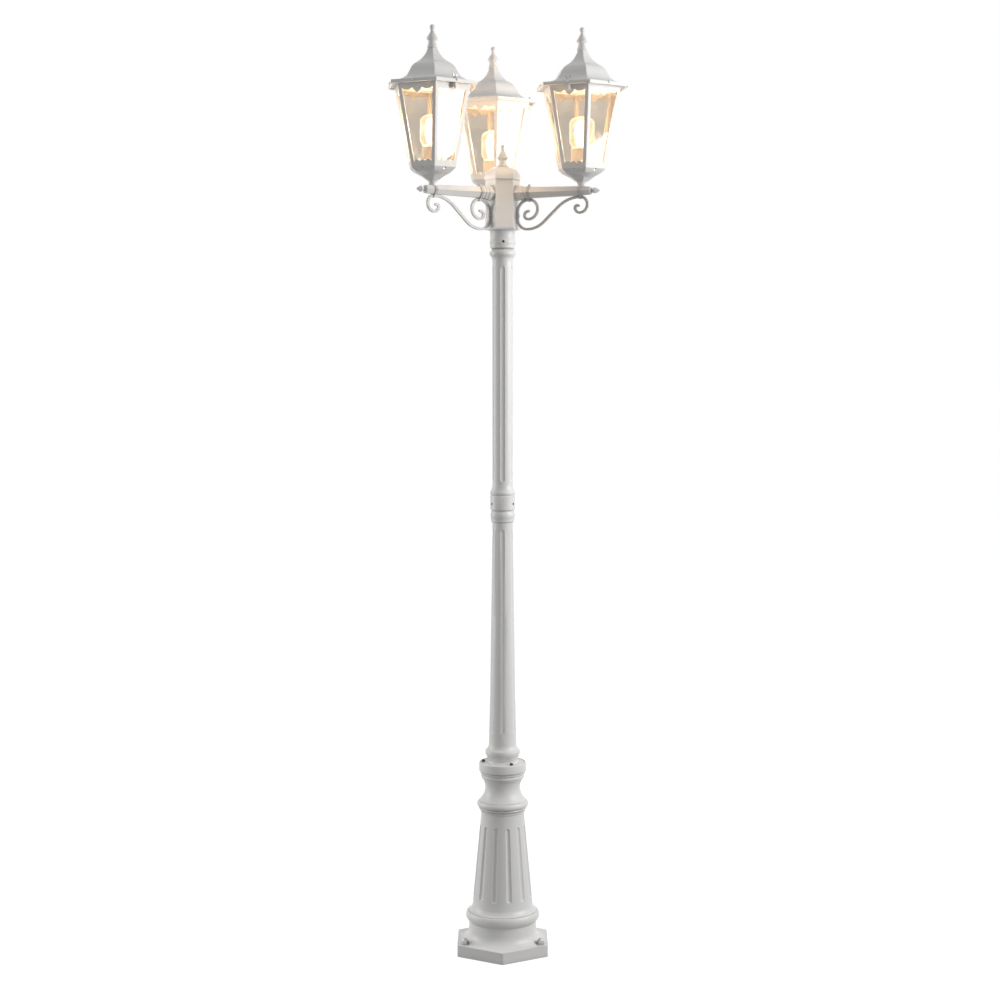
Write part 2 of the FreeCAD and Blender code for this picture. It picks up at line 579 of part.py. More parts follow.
def lower_pole():
    """Cast pole with a spigot and flange below, a tapered fluted shank and a spigot above."""
    seat = POLE_SEAT_HEIGHT + SEAT_GAP
    flange_radius = COLLAR_RADIUS - COLLAR_RIM - FIT_GAP
    foot = POLE_SEAT_HEIGHT - POLE_SPIGOT_LENGTH
    spigot_radius = SLEEVE_BORE_RADIUS - FIT_GAP
    spigot_top = JOINT_HEIGHT + SLEEVE_LENGTH - SEAT_GAP
    shank = (POLE_SHANK_RADIUS, POLE_SHANK_HEIGHT)
    top = (LOWER_POLE_TOP_RADIUS, LOWER_POLE_TOP_HEIGHT)
    inner_foot = POLE_FOOT_RADIUS - POLE_WALL - 2.5
    inner_top = spigot_radius - POLE_WALL
    shape = turned((
        (inner_foot, foot),
        (POLE_FOOT_RADIUS, foot),
        (POLE_FOOT_RADIUS, seat),
        (flange_radius, seat),
        (flange_radius, seat + POLE_FLANGE_THICKNESS),
        (POLE_FOOT_RADIUS + 2, seat + POLE_FLANGE_THICKNESS),
        (POLE_FOOT_RADIUS, seat + POLE_FLANGE_THICKNESS + 4),
        (POLE_BULGE_RADIUS - 0.7, POLE_BULGE_HEIGHT - 4, -1.0),
        (POLE_BULGE_RADIUS - 1.2, POLE_BULGE_HEIGHT + 7, 1.2),
        (POLE_BULGE_RADIUS - 3.2, POLE_BULGE_HEIGHT + 8),
        (POLE_TAPER_RADIUS, POLE_TAPER_HEIGHT, -1.2),
        shank,
        top,
        (LOWER_POLE_TOP_RADIUS + 0.4, JOINT_HEIGHT - 30),
        (JOINT_BEAD_RADIUS - 1.5, JOINT_HEIGHT - 26),
        (JOINT_BEAD_RADIUS - 1.7, JOINT_HEIGHT - 21),
        (JOINT_BEAD_RADIUS - 0.9, JOINT_HEIGHT - 18),
        (JOINT_BEAD_RADIUS - 2.0, JOINT_HEIGHT - 3, 1.5),
        (JOINT_BEAD_RADIUS - 3.2, JOINT_HEIGHT),
        (spigot_radius, JOINT_HEIGHT),
        (spigot_radius, spigot_top),
        (inner_top, spigot_top),
        (inner_top, LOWER_POLE_TOP_HEIGHT),
        (POLE_SHANK_RADIUS - POLE_WALL - 1, POLE_SHANK_HEIGHT),
        (inner_foot, foot),
    ))
    low = (along(shank, top, LOWER_FLUTE_BOTTOM) + POLE_FLUTE_DEPTH - 0.4, LOWER_FLUTE_BOTTOM)
    high = (along(shank, top, LOWER_FLUTE_TOP), LOWER_FLUTE_TOP)
    cuts = flutes(POLE_FLUTE_COUNT, 0.0, POLE_FLUTE_RADIUS, POLE_FLUTE_DEPTH, low, high)
    for spot in flange_screw_spots():
        cuts.append(rod(FLANGE_SCREW_RADIUS + FIT_GAP, POLE_FLANGE_THICKNESS, spot + Vector(0, 0, seat)))
    return shape.cut(cuts)


def upper_pole():
    """Cast pole with the sleeve of the joint below, a straight fluted shank and the head's spigot above."""
    sleeve_top = JOINT_HEIGHT + SLEEVE_LENGTH
    spigot_top = HEAD_SPIGOT_TOP
    bore = HEAD_SPIGOT_RADIUS - POLE_WALL
    bottom = JOINT_HEIGHT + SEAT_GAP
    shape = turned((
        (SLEEVE_BORE_RADIUS, bottom),
        (SLEEVE_RADIUS - 1.5, bottom),
        (SLEEVE_RADIUS, bottom + 2),
        (SLEEVE_RADIUS, sleeve_top - 2),
        (SLEEVE_RADIUS - 1.3, sleeve_top),
        (SLEEVE_RADIUS - 1.6, sleeve_top + 11, 1.9),
        (UPPER_POLE_RADIUS, UPPER_SHANK_BOTTOM, -1.1),
        (UPPER_POLE_RADIUS, UPPER_SHANK_TOP),
        (UPPER_BEAD_RADIUS - 4, UPPER_BEAD_HEIGHT - 9, -0.9),
        (UPPER_BEAD_RADIUS - 4.5, UPPER_BEAD_HEIGHT + 8, 4.4),
        (HEAD_SPIGOT_RADIUS + 0.6, UPPER_POLE_SHOULDER),
        (HEAD_SPIGOT_RADIUS, UPPER_POLE_SHOULDER),
        (HEAD_SPIGOT_RADIUS, spigot_top),
        (bore, spigot_top),
        (bore, sleeve_top),
        (SLEEVE_BORE_RADIUS, sleeve_top),
    ))
    low = (UPPER_POLE_RADIUS, UPPER_FLUTE_BOTTOM)
    high = (UPPER_POLE_RADIUS, UPPER_FLUTE_TOP)
    cuts = flutes(POLE_FLUTE_COUNT, 0.0, POLE_FLUTE_RADIUS, POLE_FLUTE_DEPTH, low, high)
    cuts += grub_holes(MID_GRUB_TURN, MID_GRUB_HEIGHT, SLEEVE_RADIUS)
    return shape.cut(cuts)


def grub_holes(turn, height, reach):
    """Radial holes for three grub screws."""
    hole = rod(GRUB_RADIUS + FIT_GAP, reach, Vector(HEAD_SPIGOT_RADIUS - 1, 0, height), Vector(1, 0, 0))
    return [spun(hole, facing(turn + 120.0 * i)) for i in range(3)]


def grub_screws(turn, height, inside, outside):
    """Three grub screws between two radii, each with a hexagonal socket."""
    inner = inside + SEAT_GAP
    body = rod(GRUB_RADIUS, outside - inner, Vector(inner, 0, height), Vector(1, 0, 0))
    socket = laid_out(hex_nut(GRUB_SOCKET_FLATS, GRUB_SOCKET_DEPTH, 0))
    screw = body.cut(moved(socket, outside - GRUB_SOCKET_DEPTH, 0, height))
    return Part.makeCompound([spun(screw, facing(turn + 120.0 * i)) for i in range(3)])


# ---------------------------------------------------------------- hub

def hub():
    """Round sleeve over the pole's spigot, and the hollow hexagonal box that carries the arms."""
    bore = HEAD_SPIGOT_RADIUS + FIT_GAP
    bottom = UPPER_POLE_SHOULDER + SEAT_GAP
    ledge = HEAD_SPIGOT_TOP + SEAT_GAP
    sleeve = turned((
        (bore, bottom),
        (HEAD_SLEEVE_RADIUS - 1.5, bottom),
        (HEAD_SLEEVE_RADIUS, bottom + 1.5),
        (HEAD_SLEEVE_RADIUS, HEAD_GRUB_HEIGHT - 5),
        (HEAD_SLEEVE_RADIUS + 1, HEAD_GRUB_HEIGHT - 3),
        (HEAD_SLEEVE_RADIUS + 1, HEAD_GRUB_HEIGHT + 3),
        (HEAD_SLEEVE_RADIUS, HEAD_GRUB_HEIGHT + 5),
        (HEAD_SLEEVE_RADIUS, HUB_BOTTOM - 5),
        (HEAD_SLEEVE_RADIUS + 1.2, HUB_BOTTOM - 2),
        (HEAD_SLEEVE_RADIUS + 3, HUB_BOTTOM),
        (HEAD_SLEEVE_RADIUS + 3, HUB_BOTTOM + 1),
        (HUB_CABLE_RADIUS, HUB_BOTTOM + 1),
        (HUB_CABLE_RADIUS, ledge),
        (bore, ledge),
    ))
    corner = facing(HEAD_TURN) + 30.0
    outer_corner = HUB_CORNER_RADIUS
    inner_corner = HUB_CORNER_RADIUS - HUB_WALL / FLAT_SHARE
    box = six_sided((
        (outer_corner + HUB_FOOT_FLARE - 1, HUB_BOTTOM),
        (outer_corner + HUB_FOOT_FLARE, HUB_BOTTOM + 3),
        (outer_corner + HUB_FOOT_FLARE, HUB_BOTTOM + 7),
        (outer_corner, HUB_BOTTOM + 11),
        (outer_corner, HUB_TOP),
    ), turn=corner)
    floor = HUB_BOTTOM + HUB_FLOOR_THICKNESS
    cuts = [
        six_sided(((inner_corner, floor), (inner_corner, HUB_TOP)), turn=corner),
        rod(HUB_CABLE_RADIUS, HUB_FLOOR_THICKNESS, Vector(0, 0, HUB_BOTTOM)),
    ]
    outward = Vector(1, 0, 0)
    for azimuth in ARM_AZIMUTHS.values():
        angle = facing(azimuth + HEAD_TURN)
        start = Vector(HUB_WALL, 0, ARM_HEIGHT)
        spigot_hole = rod(ARM_SPIGOT_RADIUS + FIT_GAP, HUB_CORNER_RADIUS, start, outward)
        cuts.append(spun(spigot_hole, angle))
        start = Vector(HUB_WALL, 0, ARM_HEIGHT - SCROLL_SCREW_DROP)
        screw_hole = rod(SCROLL_SCREW_RADIUS + FIT_GAP, HUB_CORNER_RADIUS, start, outward)
        cuts.append(spun(screw_hole, angle))
    cuts += grub_holes(HEAD_GRUB_TURN, HEAD_GRUB_HEIGHT, HEAD_SLEEVE_RADIUS)
    return sleeve.fuse(box).cut(cuts)


def hub_cap():
    """Six-sided dome on the hub, with a lip that drops inside the box."""
    corner = facing(HEAD_TURN) + 30.0
    bottom = HUB_TOP + SEAT_GAP
    full = HUB_CORNER_RADIUS + 0.6
    rise = HUB_CAP_HEIGHT
    outer = six_sided((
        (full, bottom),
        (full, bottom + HUB_CAP_BAND),
        (HUB_CAP_CROWN_RADIUS, bottom + rise, HUB_CAP_BULGE),
    ), turn=corner)
    lip_corner = HUB_CORNER_RADIUS - (HUB_WALL + FIT_GAP) / FLAT_SHARE
    lip = six_sided(((lip_corner, bottom - 6), (lip_corner, bottom + 3)), turn=corner)
    hollow_corner = lip_corner - HUB_CAP_WALL
    hollow = six_sided((
        (hollow_corner, bottom - 6),
        (hollow_corner, bottom + rise * 0.3),
        (hollow_corner - 5, bottom + rise * 0.55),
        (hollow_corner - 20, bottom + rise - 2 * HUB_CAP_WALL),
    ), turn=corner)
    stud_hole = rod(FINIAL_STUD_RADIUS + FIT_GAP, rise, Vector(0, 0, bottom + 2))
    return outer.fuse(lip).cut([hollow, stud_hole])


def finial(bottom, height, radii):
    """A turned spike with a foot ring, a waist, an upturned cone and a small ball, and a stud below."""
    foot_radius, waist_radius, cone_radius, neck_radius, ball_radius = radii
    stud = FINIAL_STUD_LENGTH
    return turned((
        (0, bottom - stud),
        (FINIAL_STUD_RADIUS, bottom - stud),
        (FINIAL_STUD_RADIUS, bottom),
        (foot_radius, bottom),
        (foot_radius, bottom + height * 0.06),
        (waist_radius + 1, bottom + height * 0.12),
        (waist_radius, bottom + height * 0.22),
        (waist_radius, bottom + height * 0.30),
        (cone_radius, bottom + height * 0.37),
        (cone_radius, bottom + height * 0.42),
        (neck_radius + 1, bottom + height * 0.68),
        (neck_radius, bottom + height * 0.78),
        (neck_radius, bottom + height - 2 * ball_radius),
        (ball_radius * 0.8, bottom + height - 1.6 * ball_radius),
        (0, bottom + height, "dome"),
    ))


def terminal_block():
    """Connector block on the hub's floor, against a wall that carries no arm."""
    inside = HUB_CORNER_RADIUS * FLAT_SHARE - HUB_WALL - FIT_GAP
    floor = HUB_BOTTOM + HUB_FLOOR_THICKNESS + SEAT_GAP
    corner = Vector(inside - TERMINAL_DEPTH, -TERMINAL_LENGTH / 2, floor)
    block = Part.makeBox(TERMINAL_DEPTH, TERMINAL_LENGTH, TERMINAL_HEIGHT, corner)
    pitch = TERMINAL_LENGTH / TERMINAL_WAYS
    bores = []
    for i in range(TERMINAL_WAYS):
        side = (i - (TERMINAL_WAYS - 1) / 2) * pitch
        spot = Vector(inside - TERMINAL_DEPTH / 2, side, floor)
        bores.append(rod(TERMINAL_BORE_RADIUS, TERMINAL_HEIGHT, spot))
    return spun(block.cut(bores), facing(HEAD_TURN + 120.0))


# ---------------------------------------------------------------- arms

HUB_FACE = HUB_CORNER_RADIUS * FLAT_SHARE


def bar(steps):
    """A hexagonal bar along +X at the arms' height, flat above and below, from steps of (reach, depth)."""
    standing = six_sided([(depth / 2 / FLAT_SHARE, reach) for reach, depth in steps], turn=30.0)
    return moved(laid_out(standing), 0, 0, ARM_HEIGHT)


def laid_out(shape):
    """A copy turned from standing along +Z to lying along +X."""
    return shape.rotated(Vector(0, 0, 0), Vector(0, 1, 0), 90)


def arm_depth(reach):
    """The tapered bar's height at a distance from the post's axis."""
    inner = HUB_FACE + ARM_ROOT_LENGTH + ARM_STEP_LENGTH
    share = (reach - inner) / (ARM_BAR_REACH - inner)
    return ARM_INNER_DEPTH + (ARM_OUTER_DEPTH - ARM_INNER_DEPTH) * share


def arm():
    """Hexagonal bar with a stepped root, a threaded spigot into the hub and a cable way to the lantern."""
    root = HUB_FACE + SEAT_GAP
    step = HUB_FACE + ARM_ROOT_LENGTH
    inner = step + ARM_STEP_LENGTH
    body = bar((
        (root, ARM_ROOT_DEPTH),
        (step - 1.5, ARM_ROOT_DEPTH),
        (step, ARM_STEP_DEPTH),
        (inner - 2, ARM_STEP_DEPTH),
        (inner, ARM_INNER_DEPTH),
        (ARM_BAR_REACH, ARM_OUTER_DEPTH),
        (ARM_REACH - 3, ARM_END_DEPTH),
        (ARM_REACH, ARM_END_DEPTH - 6),
    ))
    inward = Vector(-1, 0, 0)
    spigot = rod(ARM_SPIGOT_RADIUS, ARM_SPIGOT_LENGTH, Vector(root, 0, ARM_HEIGHT), inward)
    shape = body.fuse(spigot)
    cable_start = Vector(root - ARM_SPIGOT_LENGTH, 0, ARM_HEIGHT)
    cable_length = LANTERN_REACH + ARM_CABLE_RADIUS - cable_start.x
    cable_way = rod(ARM_CABLE_RADIUS, cable_length, cable_start, Vector(1, 0, 0))
    riser = rod(NIPPLE_RADIUS + FIT_GAP, ARM_OUTER_DEPTH, Vector(LANTERN_REACH, 0, ARM_HEIGHT))
    end = Vector(ARM_REACH, 0, ARM_HEIGHT)
    stud_hole = rod(TIP_STUD_RADIUS + FIT_GAP, TIP_STUD_LENGTH + 1, end, inward)
    return shape.cut([cable_way, riser, stud_hole])


def arm_tip():
    """Faceted knob at an arm's outer end, on a short neck with a stud."""
    start = ARM_REACH + SEAT_GAP
    neck_end = start + 3
    body = bar((
        (start, 7.0),
        (neck_end, 6.5),
        (neck_end + 0.5, 11.0),
        (neck_end + 5.5, 2 * TIP_RADIUS * FLAT_SHARE),
        (start + TIP_LENGTH - 3, 6.0),
        (start + TIP_LENGTH, 1.6),
    ))
    stud = rod(TIP_STUD_RADIUS, TIP_STUD_LENGTH, Vector(start, 0, ARM_HEIGHT), Vector(-1, 0, 0))
    return body.fuse(stud)


def arm_nut():
    """Lock nut on an arm's spigot, inside the hub."""
    inside = HUB_FACE - HUB_WALL - SEAT_GAP
    bore = rod(ARM_SPIGOT_RADIUS + FIT_GAP, ARM_NUT_THICKNESS, Vector(0, 0, 0))
    ring = hex_nut(ARM_NUT_FLATS, ARM_NUT_THICKNESS, 0).cut(bore)
    return moved(laid_out(ring), inside - ARM_NUT_THICKNESS, 0, ARM_HEIGHT)


# ---------------------------------------------------------------- scrolled rods

class Bender:
    """Bends a rod in an arm's vertical plane: it keeps a place and a heading and collects the edges."""

    def __init__(self, x, z, heading):
        self.x = x
        self.z = z
        self.heading = math.radians(heading)
        self.edges = []

    def _to(self, x, z, middle=None):
        start, end = Vector(self.x, 0, self.z), Vector(x, 0, z)
        if middle is None:
            self.edges.append(Part.LineSegment(start, end).toShape())
        else:
            self.edges.append(Part.Arc(start, middle, end).toShape())
        self.x, self.z = x, z

    def run(self, length):
        """Go straight on."""
        self._to(self.x + length * math.cos(self.heading), self.z + length * math.sin(self.heading))

    def bend(self, radius, turn):
        """Follow an arc; a positive turn is to the left of the heading."""
        side = math.copysign(1.0, turn)
        centre_x = self.x - side * radius * math.sin(self.heading)
        centre_z = self.z + side * radius * math.cos(self.heading)
        places = []
        for share in (0.5, 1.0):
            a = self.heading + math.radians(turn) * share
            places.append((centre_x + side * radius * math.sin(a), centre_z - side * radius * math.cos(a)))
        self._to(*places[1], middle=Vector(places[0][0], 0, places[0][1]))
        self.heading += math.radians(turn)


def scroll_paths():
    """The rod's two ways from the foot of its run along the hub: the inner curl, and out to the lantern."""
    start_x = HUB_FACE + SEAT_GAP + ROD_THICKNESS / 2
    start_z = ARM_HEIGHT - SCROLL_FOOT_DROP
    inner = Bender(start_x, start_z, 90.0)
    inner.run(SCROLL_FOOT_DROP - rod_drop(inner_clip_reach()) - INNER_SCROLL_BENDS[0][0])
    for radius, turn in INNER_SCROLL_BENDS:
        inner.bend(radius, -turn)
    outer = Bender(start_x, start_z, -90.0)
    outer.bend(SCROLL_HEEL_RADIUS, 90.0)
    end_x = LANTERN_REACH - OUTER_CLIP_INSET
    end_z = ARM_HEIGHT - rod_drop(end_x)
    slope = math.radians(SCROLL_SLOPE)
    across, rise = end_x - outer.x, end_z - outer.z
    lift = 1 - math.cos(slope)
    both_radii = (across * math.sin(slope) - rise * math.cos(slope)) / lift
    straight = (rise * math.sin(slope) - across * lift) / lift
    outer.bend(both_radii * SCROLL_LOWER_SHARE, SCROLL_SLOPE)
    outer.run(straight)
    outer.bend(both_radii * (1 - SCROLL_LOWER_SHARE), -SCROLL_SLOPE)
    for radius, turn in OUTER_SCROLL_BENDS:
        outer.bend(radius, -turn)
    return inner.edges, outer.edges


def rod_drop(reach):
    """How far the rod's centre lies under the arm's centre line where it is clipped on."""
    return arm_depth(reach) / 2 + SEAT_GAP + ROD_THICKNESS / 2


def scroll():
    """The rod bent into an S with a curl at each end, and the eye for its screw."""
    half = ROD_THICKNESS / 2
    start = Vector(HUB_FACE + SEAT_GAP + half, 0, ARM_HEIGHT - SCROLL_FOOT_DROP)
    corners = ((-half, -half), (half, -half), (half, half), (-half, half), (-half, -half))
    section = Part.makePolygon([start + Vector(x, y, 0) for x, y in corners])
    limbs = [Part.Wire(edges).makePipeShell([section], True, False) for edges in scroll_paths()]
    screw_height = ARM_HEIGHT - SCROLL_SCREW_DROP
    outward = Vector(1, 0, 0)
    eye = rod(SCROLL_EYE_RADIUS, ROD_THICKNESS, Vector(HUB_FACE + SEAT_GAP, 0, screw_height), outward)
    hole = rod(SCROLL_SCREW_RADIUS + FIT_GAP, ROD_THICKNESS + 1, Vector(HUB_FACE, 0, screw_height), outward)
    return limbs[0].fuse([limbs[1], eye]).cut(hole)


def scroll_screw():
    """Round-headed screw that fixes the rod to the hub."""
    head = HUB_FACE + SEAT_GAP + ROD_THICKNESS + SEAT_GAP
    tail = HUB_FACE - HUB_WALL - 1
    screw = turned((
        (0, tail),
        (SCROLL_SCREW_RADIUS, tail),
        (SCROLL_SCREW_RADIUS, head),
        (SCROLL_SCREW_HEAD_RADIUS, head),
        (SCROLL_SCREW_HEAD_RADIUS, head + 0.8),
        (SCROLL_SCREW_HEAD_RADIUS * 0.6, head + SCROLL_SCREW_HEAD_HEIGHT * 0.85),
        (0, head + SCROLL_SCREW_HEAD_HEIGHT),
    ))
    return moved(laid_out(screw), 0, 0, ARM_HEIGHT - SCROLL_SCREW_DROP)


def clip(reach, open_top):
    """A strap round the arm and the rod under it, as wide as CLIP_WIDTH along the arm."""
    depth = arm_depth(reach)
    start = reach - CLIP_WIDTH / 2
    end = reach + CLIP_WIDTH / 2
    outer_depth, inner_depth = depth + 2 * CLIP_THICKNESS, depth + 2 * FIT_GAP
    outside = bar(((start, outer_depth), (end, outer_depth)))
    arm_room = bar(((start, inner_depth), (end, inner_depth)))
    drop = rod_drop(reach)
    tab_half = ROD_THICKNESS / 2 + CLIP_THICKNESS
    tab_corner = Vector(start, -tab_half, ARM_HEIGHT - drop - tab_half)
    tab = Part.makeBox(CLIP_WIDTH, 2 * tab_half, drop + tab_half, tab_corner)
    rod_half = ROD_THICKNESS / 2 + FIT_GAP
    rod_top = ARM_HEIGHT - depth / 2
    sag = CLIP_WIDTH ** 2 / 8 / OUTER_SCROLL_BENDS[0][0]
    rod_bottom = ARM_HEIGHT - drop - rod_half - sag
    room_corner = Vector(start, -rod_half, rod_bottom)
    rod_room = Part.makeBox(CLIP_WIDTH, 2 * rod_half, rod_top - rod_bottom, room_corner)
    shape = outside.fuse(tab)
    if open_top:
        top = ARM_HEIGHT + arm_depth(LANTERN_REACH) / 2 - NECK_SADDLE - SEAT_GAP
        opening = Part.makeBox(CLIP_WIDTH, depth * 2, depth, Vector(start, -depth, top))
        return shape.cut([arm_room, rod_room, opening])
    nub_foot = Vector(reach, 0, ARM_HEIGHT + depth / 2)
    nub = rod(INNER_CLIP_NUB_RADIUS, CLIP_THICKNESS + INNER_CLIP_NUB_HEIGHT, nub_foot)
    return shape.fuse(nub).cut([arm_room, rod_room])


def inner_clip_reach():
    """The top of the inner curl."""
    return HUB_FACE + SEAT_GAP + ROD_THICKNESS / 2 + INNER_SCROLL_BENDS[0][0]


# ---------------------------------------------------------------- lantern, about its own vertical axis

def skirt_radii():
    """The corner radii of the cage's skirt, outside and inside."""
    outer = CAGE_BOTTOM_CORNER_RADIUS - SKIRT_INSET
    return outer, outer - SKIRT_WALL / FLAT_SHARE


def bowl():
    """Neck that saddles the arm, and the six-sided bowl that flares from it to the cage's bottom edge."""
    neck_bottom = ARM_HEIGHT + arm_depth(LANTERN_REACH) / 2 - NECK_SADDLE
    neck = turned((
        (0, neck_bottom),
        (NECK_RADIUS - 0.5, neck_bottom),
        (NECK_RADIUS, neck_bottom + 4),
        (NECK_FLARE_RADIUS, NECK_TOP, -1.0),
        (NECK_FLARE_RADIUS, NECK_TOP + 2),
        (0, NECK_TOP + 2),
    ))
    body = six_sided((
        (BOWL_THROAT_RADIUS, NECK_TOP),
        (BOWL_SHOULDER_RADIUS, BOWL_SHOULDER, BOWL_FLARE_BOW),
        (CAGE_BOTTOM_CORNER_RADIUS, CAGE_BOTTOM, BOWL_RIM_BOW),
    ))
    skirt_outer, skirt_inner = skirt_radii()
    gallery = skirt_outer + FIT_GAP / FLAT_SHARE
    hollow = six_sided((
        (BOWL_FLOOR_RADIUS, BOWL_FLOOR),
        (skirt_inner, GALLERY_LEDGE),
        (gallery, GALLERY_LEDGE),
        (gallery, CAGE_BOTTOM),
    ))
    ends = (-2 * NECK_RADIUS, 2 * NECK_RADIUS)
    arm_room = bar([(x, arm_depth(LANTERN_REACH + x) + 2 * SEAT_GAP) for x in ends])
    nipple_hole = rod(NIPPLE_RADIUS + FIT_GAP, CAGE_BOTTOM - ARM_HEIGHT, Vector(0, 0, ARM_HEIGHT))
    return neck.fuse(body).cut([hollow, arm_room, nipple_hole] + cage_screw_holes() + cage_screw_seats())


def cage_screw_face():
    """How far the flat that a cage screw's head stands on is from the lantern's axis."""
    slope = (CAGE_BOTTOM_CORNER_RADIUS - BOWL_SHOULDER_RADIUS) / BOWL_RIM_RISE
    rise = CAGE_SCREW_HEIGHT - CAGE_SCREW_SEAT_RADIUS - BOWL_SHOULDER
    return (BOWL_SHOULDER_RADIUS + slope * rise) * FLAT_SHARE


def cage_screw_seats():
    """Cutters for the round flats under the screws' heads on the bowl's slope."""
    start = Vector(cage_screw_face(), 0, CAGE_SCREW_HEIGHT)
    seat = rod(CAGE_SCREW_SEAT_RADIUS, CAGE_BOTTOM_CORNER_RADIUS, start, Vector(1, 0, 0))
    return [spun(seat, 30.0 + 60.0 * i) for i in range(SIDES)]


def cage_screw_holes():
    """Radial holes through the gallery, one in the middle of each side."""
    start = Vector(CAGE_BOTTOM_CORNER_RADIUS / 2, 0, CAGE_SCREW_HEIGHT)
    hole = rod(CAGE_SCREW_RADIUS + FIT_GAP, CAGE_BOTTOM_CORNER_RADIUS, start, Vector(1, 0, 0))
    return [spun(hole, 30.0 + 60.0 * i) for i in range(SIDES)]


def cage_screws():
    """Hexagon-headed screws through the gallery into the cage's skirt."""
    face = cage_screw_face() + SEAT_GAP
    inner = skirt_radii()[1] * FLAT_SHARE - 2
    shank = rod(CAGE_SCREW_RADIUS, face - inner, Vector(inner, 0, CAGE_SCREW_HEIGHT), Vector(1, 0, 0))
    head = laid_out(hex_nut(CAGE_SCREW_HEAD_FLATS, CAGE_SCREW_HEAD_HEIGHT, 0))
    screw = shank.fuse(moved(head, face, 0, CAGE_SCREW_HEIGHT))
    return [spun(screw, 30.0 + 60.0 * i) for i in range(SIDES)]


def on_facet(shape):
    """Stand a shape drawn on XY against the cage's +X side: X across, Y up the slope, Z outwards."""
    across = Vector(0, 1, 0)
    up = Vector(math.sin(LEAN), 0, math.cos(LEAN))
    out = Vector(math.cos(LEAN), 0, -math.sin(LEAN))
    foot = Vector(CAGE_BOTTOM_CORNER_RADIUS * FLAT_SHARE, 0, CAGE_BOTTOM)
    placed = shape.copy()
    stand = FreeCAD.Placement(foot, FreeCAD.Rotation(across, up, out, "ZXY"))
    placed.Placement = stand.multiply(shape.Placement)
    return placed


def slant(height):
    """Distance up the sloping side from the cage's bottom to a height."""
    return (height - CAGE_BOTTOM) / math.cos(LEAN)


def half_side(height, inset=0.0):
    """Half the width of a hexagon's side on the cage's slope, for a plane set inwards."""
    share = (height - CAGE_BOTTOM) / (CAGE_TOP - CAGE_BOTTOM)
    corner = CAGE_BOTTOM_CORNER_RADIUS + (CAGE_TOP_CORNER_RADIUS - CAGE_BOTTOM_CORNER_RADIUS) * share
    return (corner * FLAT_SHARE - inset / math.cos(LEAN)) * math.tan(math.radians(30.0))


def scallops(points):
    """Edges through points on XY: (x, y) for a line, and (x, y, bow) for an arc bowed to the right."""
    edges = []
    for before, step in zip(points, points[1:]):
        start, end = Vector(before[0], before[1], 0), Vector(step[0], step[1], 0)
        if len(step) == 3:
            chord = end - start
            right = Vector(chord.y, -chord.x, 0).normalize() * step[2]
            edges.append(Part.Arc(start, (start + end) * 0.5 + right, end).toShape())
        else:
            edges.append(Part.LineSegment(start, end).toShape())
    return edges


def window():
    """Cutter for one side's opening, with a crested sill and a scalloped valance."""
    sill = slant(CAGE_BOTTOM) + BOTTOM_RAIL
    head = slant(CAGE_TOP) - TOP_RAIL
    low = half_side(CAGE_BOTTOM + BOTTOM_RAIL) - POST_FACE
    high = half_side(CAGE_TOP - TOP_RAIL) - POST_FACE
    pitch = 2 * low / CREST_LOBES
    outline = [(-high, head), (-low, sill)]
    for i in range(CREST_LOBES):
        outline.append((-low + (i + 1) * pitch, sill, -CREST_HEIGHT))
    outline += [
        (high, head),
        (VALANCE_NOTCH_OFFSET, head, -VALANCE_LOBE),
        (0, head - VALANCE_PENDANT, -1.5),
        (-VALANCE_NOTCH_OFFSET, head, -1.5),
        (-high, head, -VALANCE_LOBE),
    ]
    face = Part.Face(Part.Wire(scallops(outline)))
    depth = CAGE_WALL * 3
    return on_facet(moved(face.extrude(Vector(0, 0, 2 * depth)), 0, 0, -depth))


def lug_distance():
    """How far a wing screw's axis is from the lantern's axis."""
    return BRIM_CORNER_RADIUS * FLAT_SHARE - WING_SCREW_INSET


def lug():
    """Lug on the cage's outside for a wing screw, drawn towards +X."""
    reach = lug_distance()
    bottom = CAGE_TOP - LUG_HEIGHT
    wall = CAGE_BOTTOM_CORNER_RADIUS * FLAT_SHARE + (bottom - CAGE_BOTTOM) * math.tan(LEAN) - 1
    boss = rod(LUG_RADIUS, LUG_HEIGHT, Vector(reach, 0, bottom))
    web = Part.makeBox(reach - wall, 2 * LUG_RADIUS, LUG_HEIGHT, Vector(wall, -LUG_RADIUS, bottom))
    hole = rod(WING_SCREW_RADIUS + LIFT_GAP, LUG_HEIGHT, Vector(reach, 0, bottom))
    return boss.fuse(web).cut(hole)


def cage():
    """Six-sided frame with corner posts, crested bottom rail, scalloped top rail, pane ledge and lugs."""
    wall = CAGE_WALL / FLAT_SHARE / math.cos(LEAN)
    bottom = CAGE_BOTTOM + SEAT_GAP
    shell = six_sided(((CAGE_BOTTOM_CORNER_RADIUS, bottom), (CAGE_TOP_CORNER_RADIUS, CAGE_TOP)))
    inner_bottom = CAGE_BOTTOM_CORNER_RADIUS - wall
    inner_top = CAGE_TOP_CORNER_RADIUS - wall
    hollow = six_sided(((inner_bottom, bottom), (inner_top, CAGE_TOP)))
    skirt_outer, skirt_inner = skirt_radii()
    skirt = six_sided(((skirt_outer, GALLERY_LEDGE + SEAT_GAP), (skirt_outer, bottom + PANE_LEDGE)))
    ledge_corner = CAGE_BOTTOM_CORNER_RADIUS - 0.5
    ledge = six_sided(((ledge_corner, bottom), (ledge_corner, bottom + PANE_LEDGE)))
    core = six_sided(((skirt_inner, GALLERY_LEDGE + SEAT_GAP), (skirt_inner, bottom + PANE_LEDGE)))
    shape = shell.cut(hollow).fuse([skirt, ledge]).cut(core)
    windows = [spun(window(), 30.0 + 60.0 * i) for i in range(SIDES)]
    shape = shape.cut(windows + cage_screw_holes())
    return shape.fuse([spun(lug(), angle) for angle in (90.0, 270.0)])


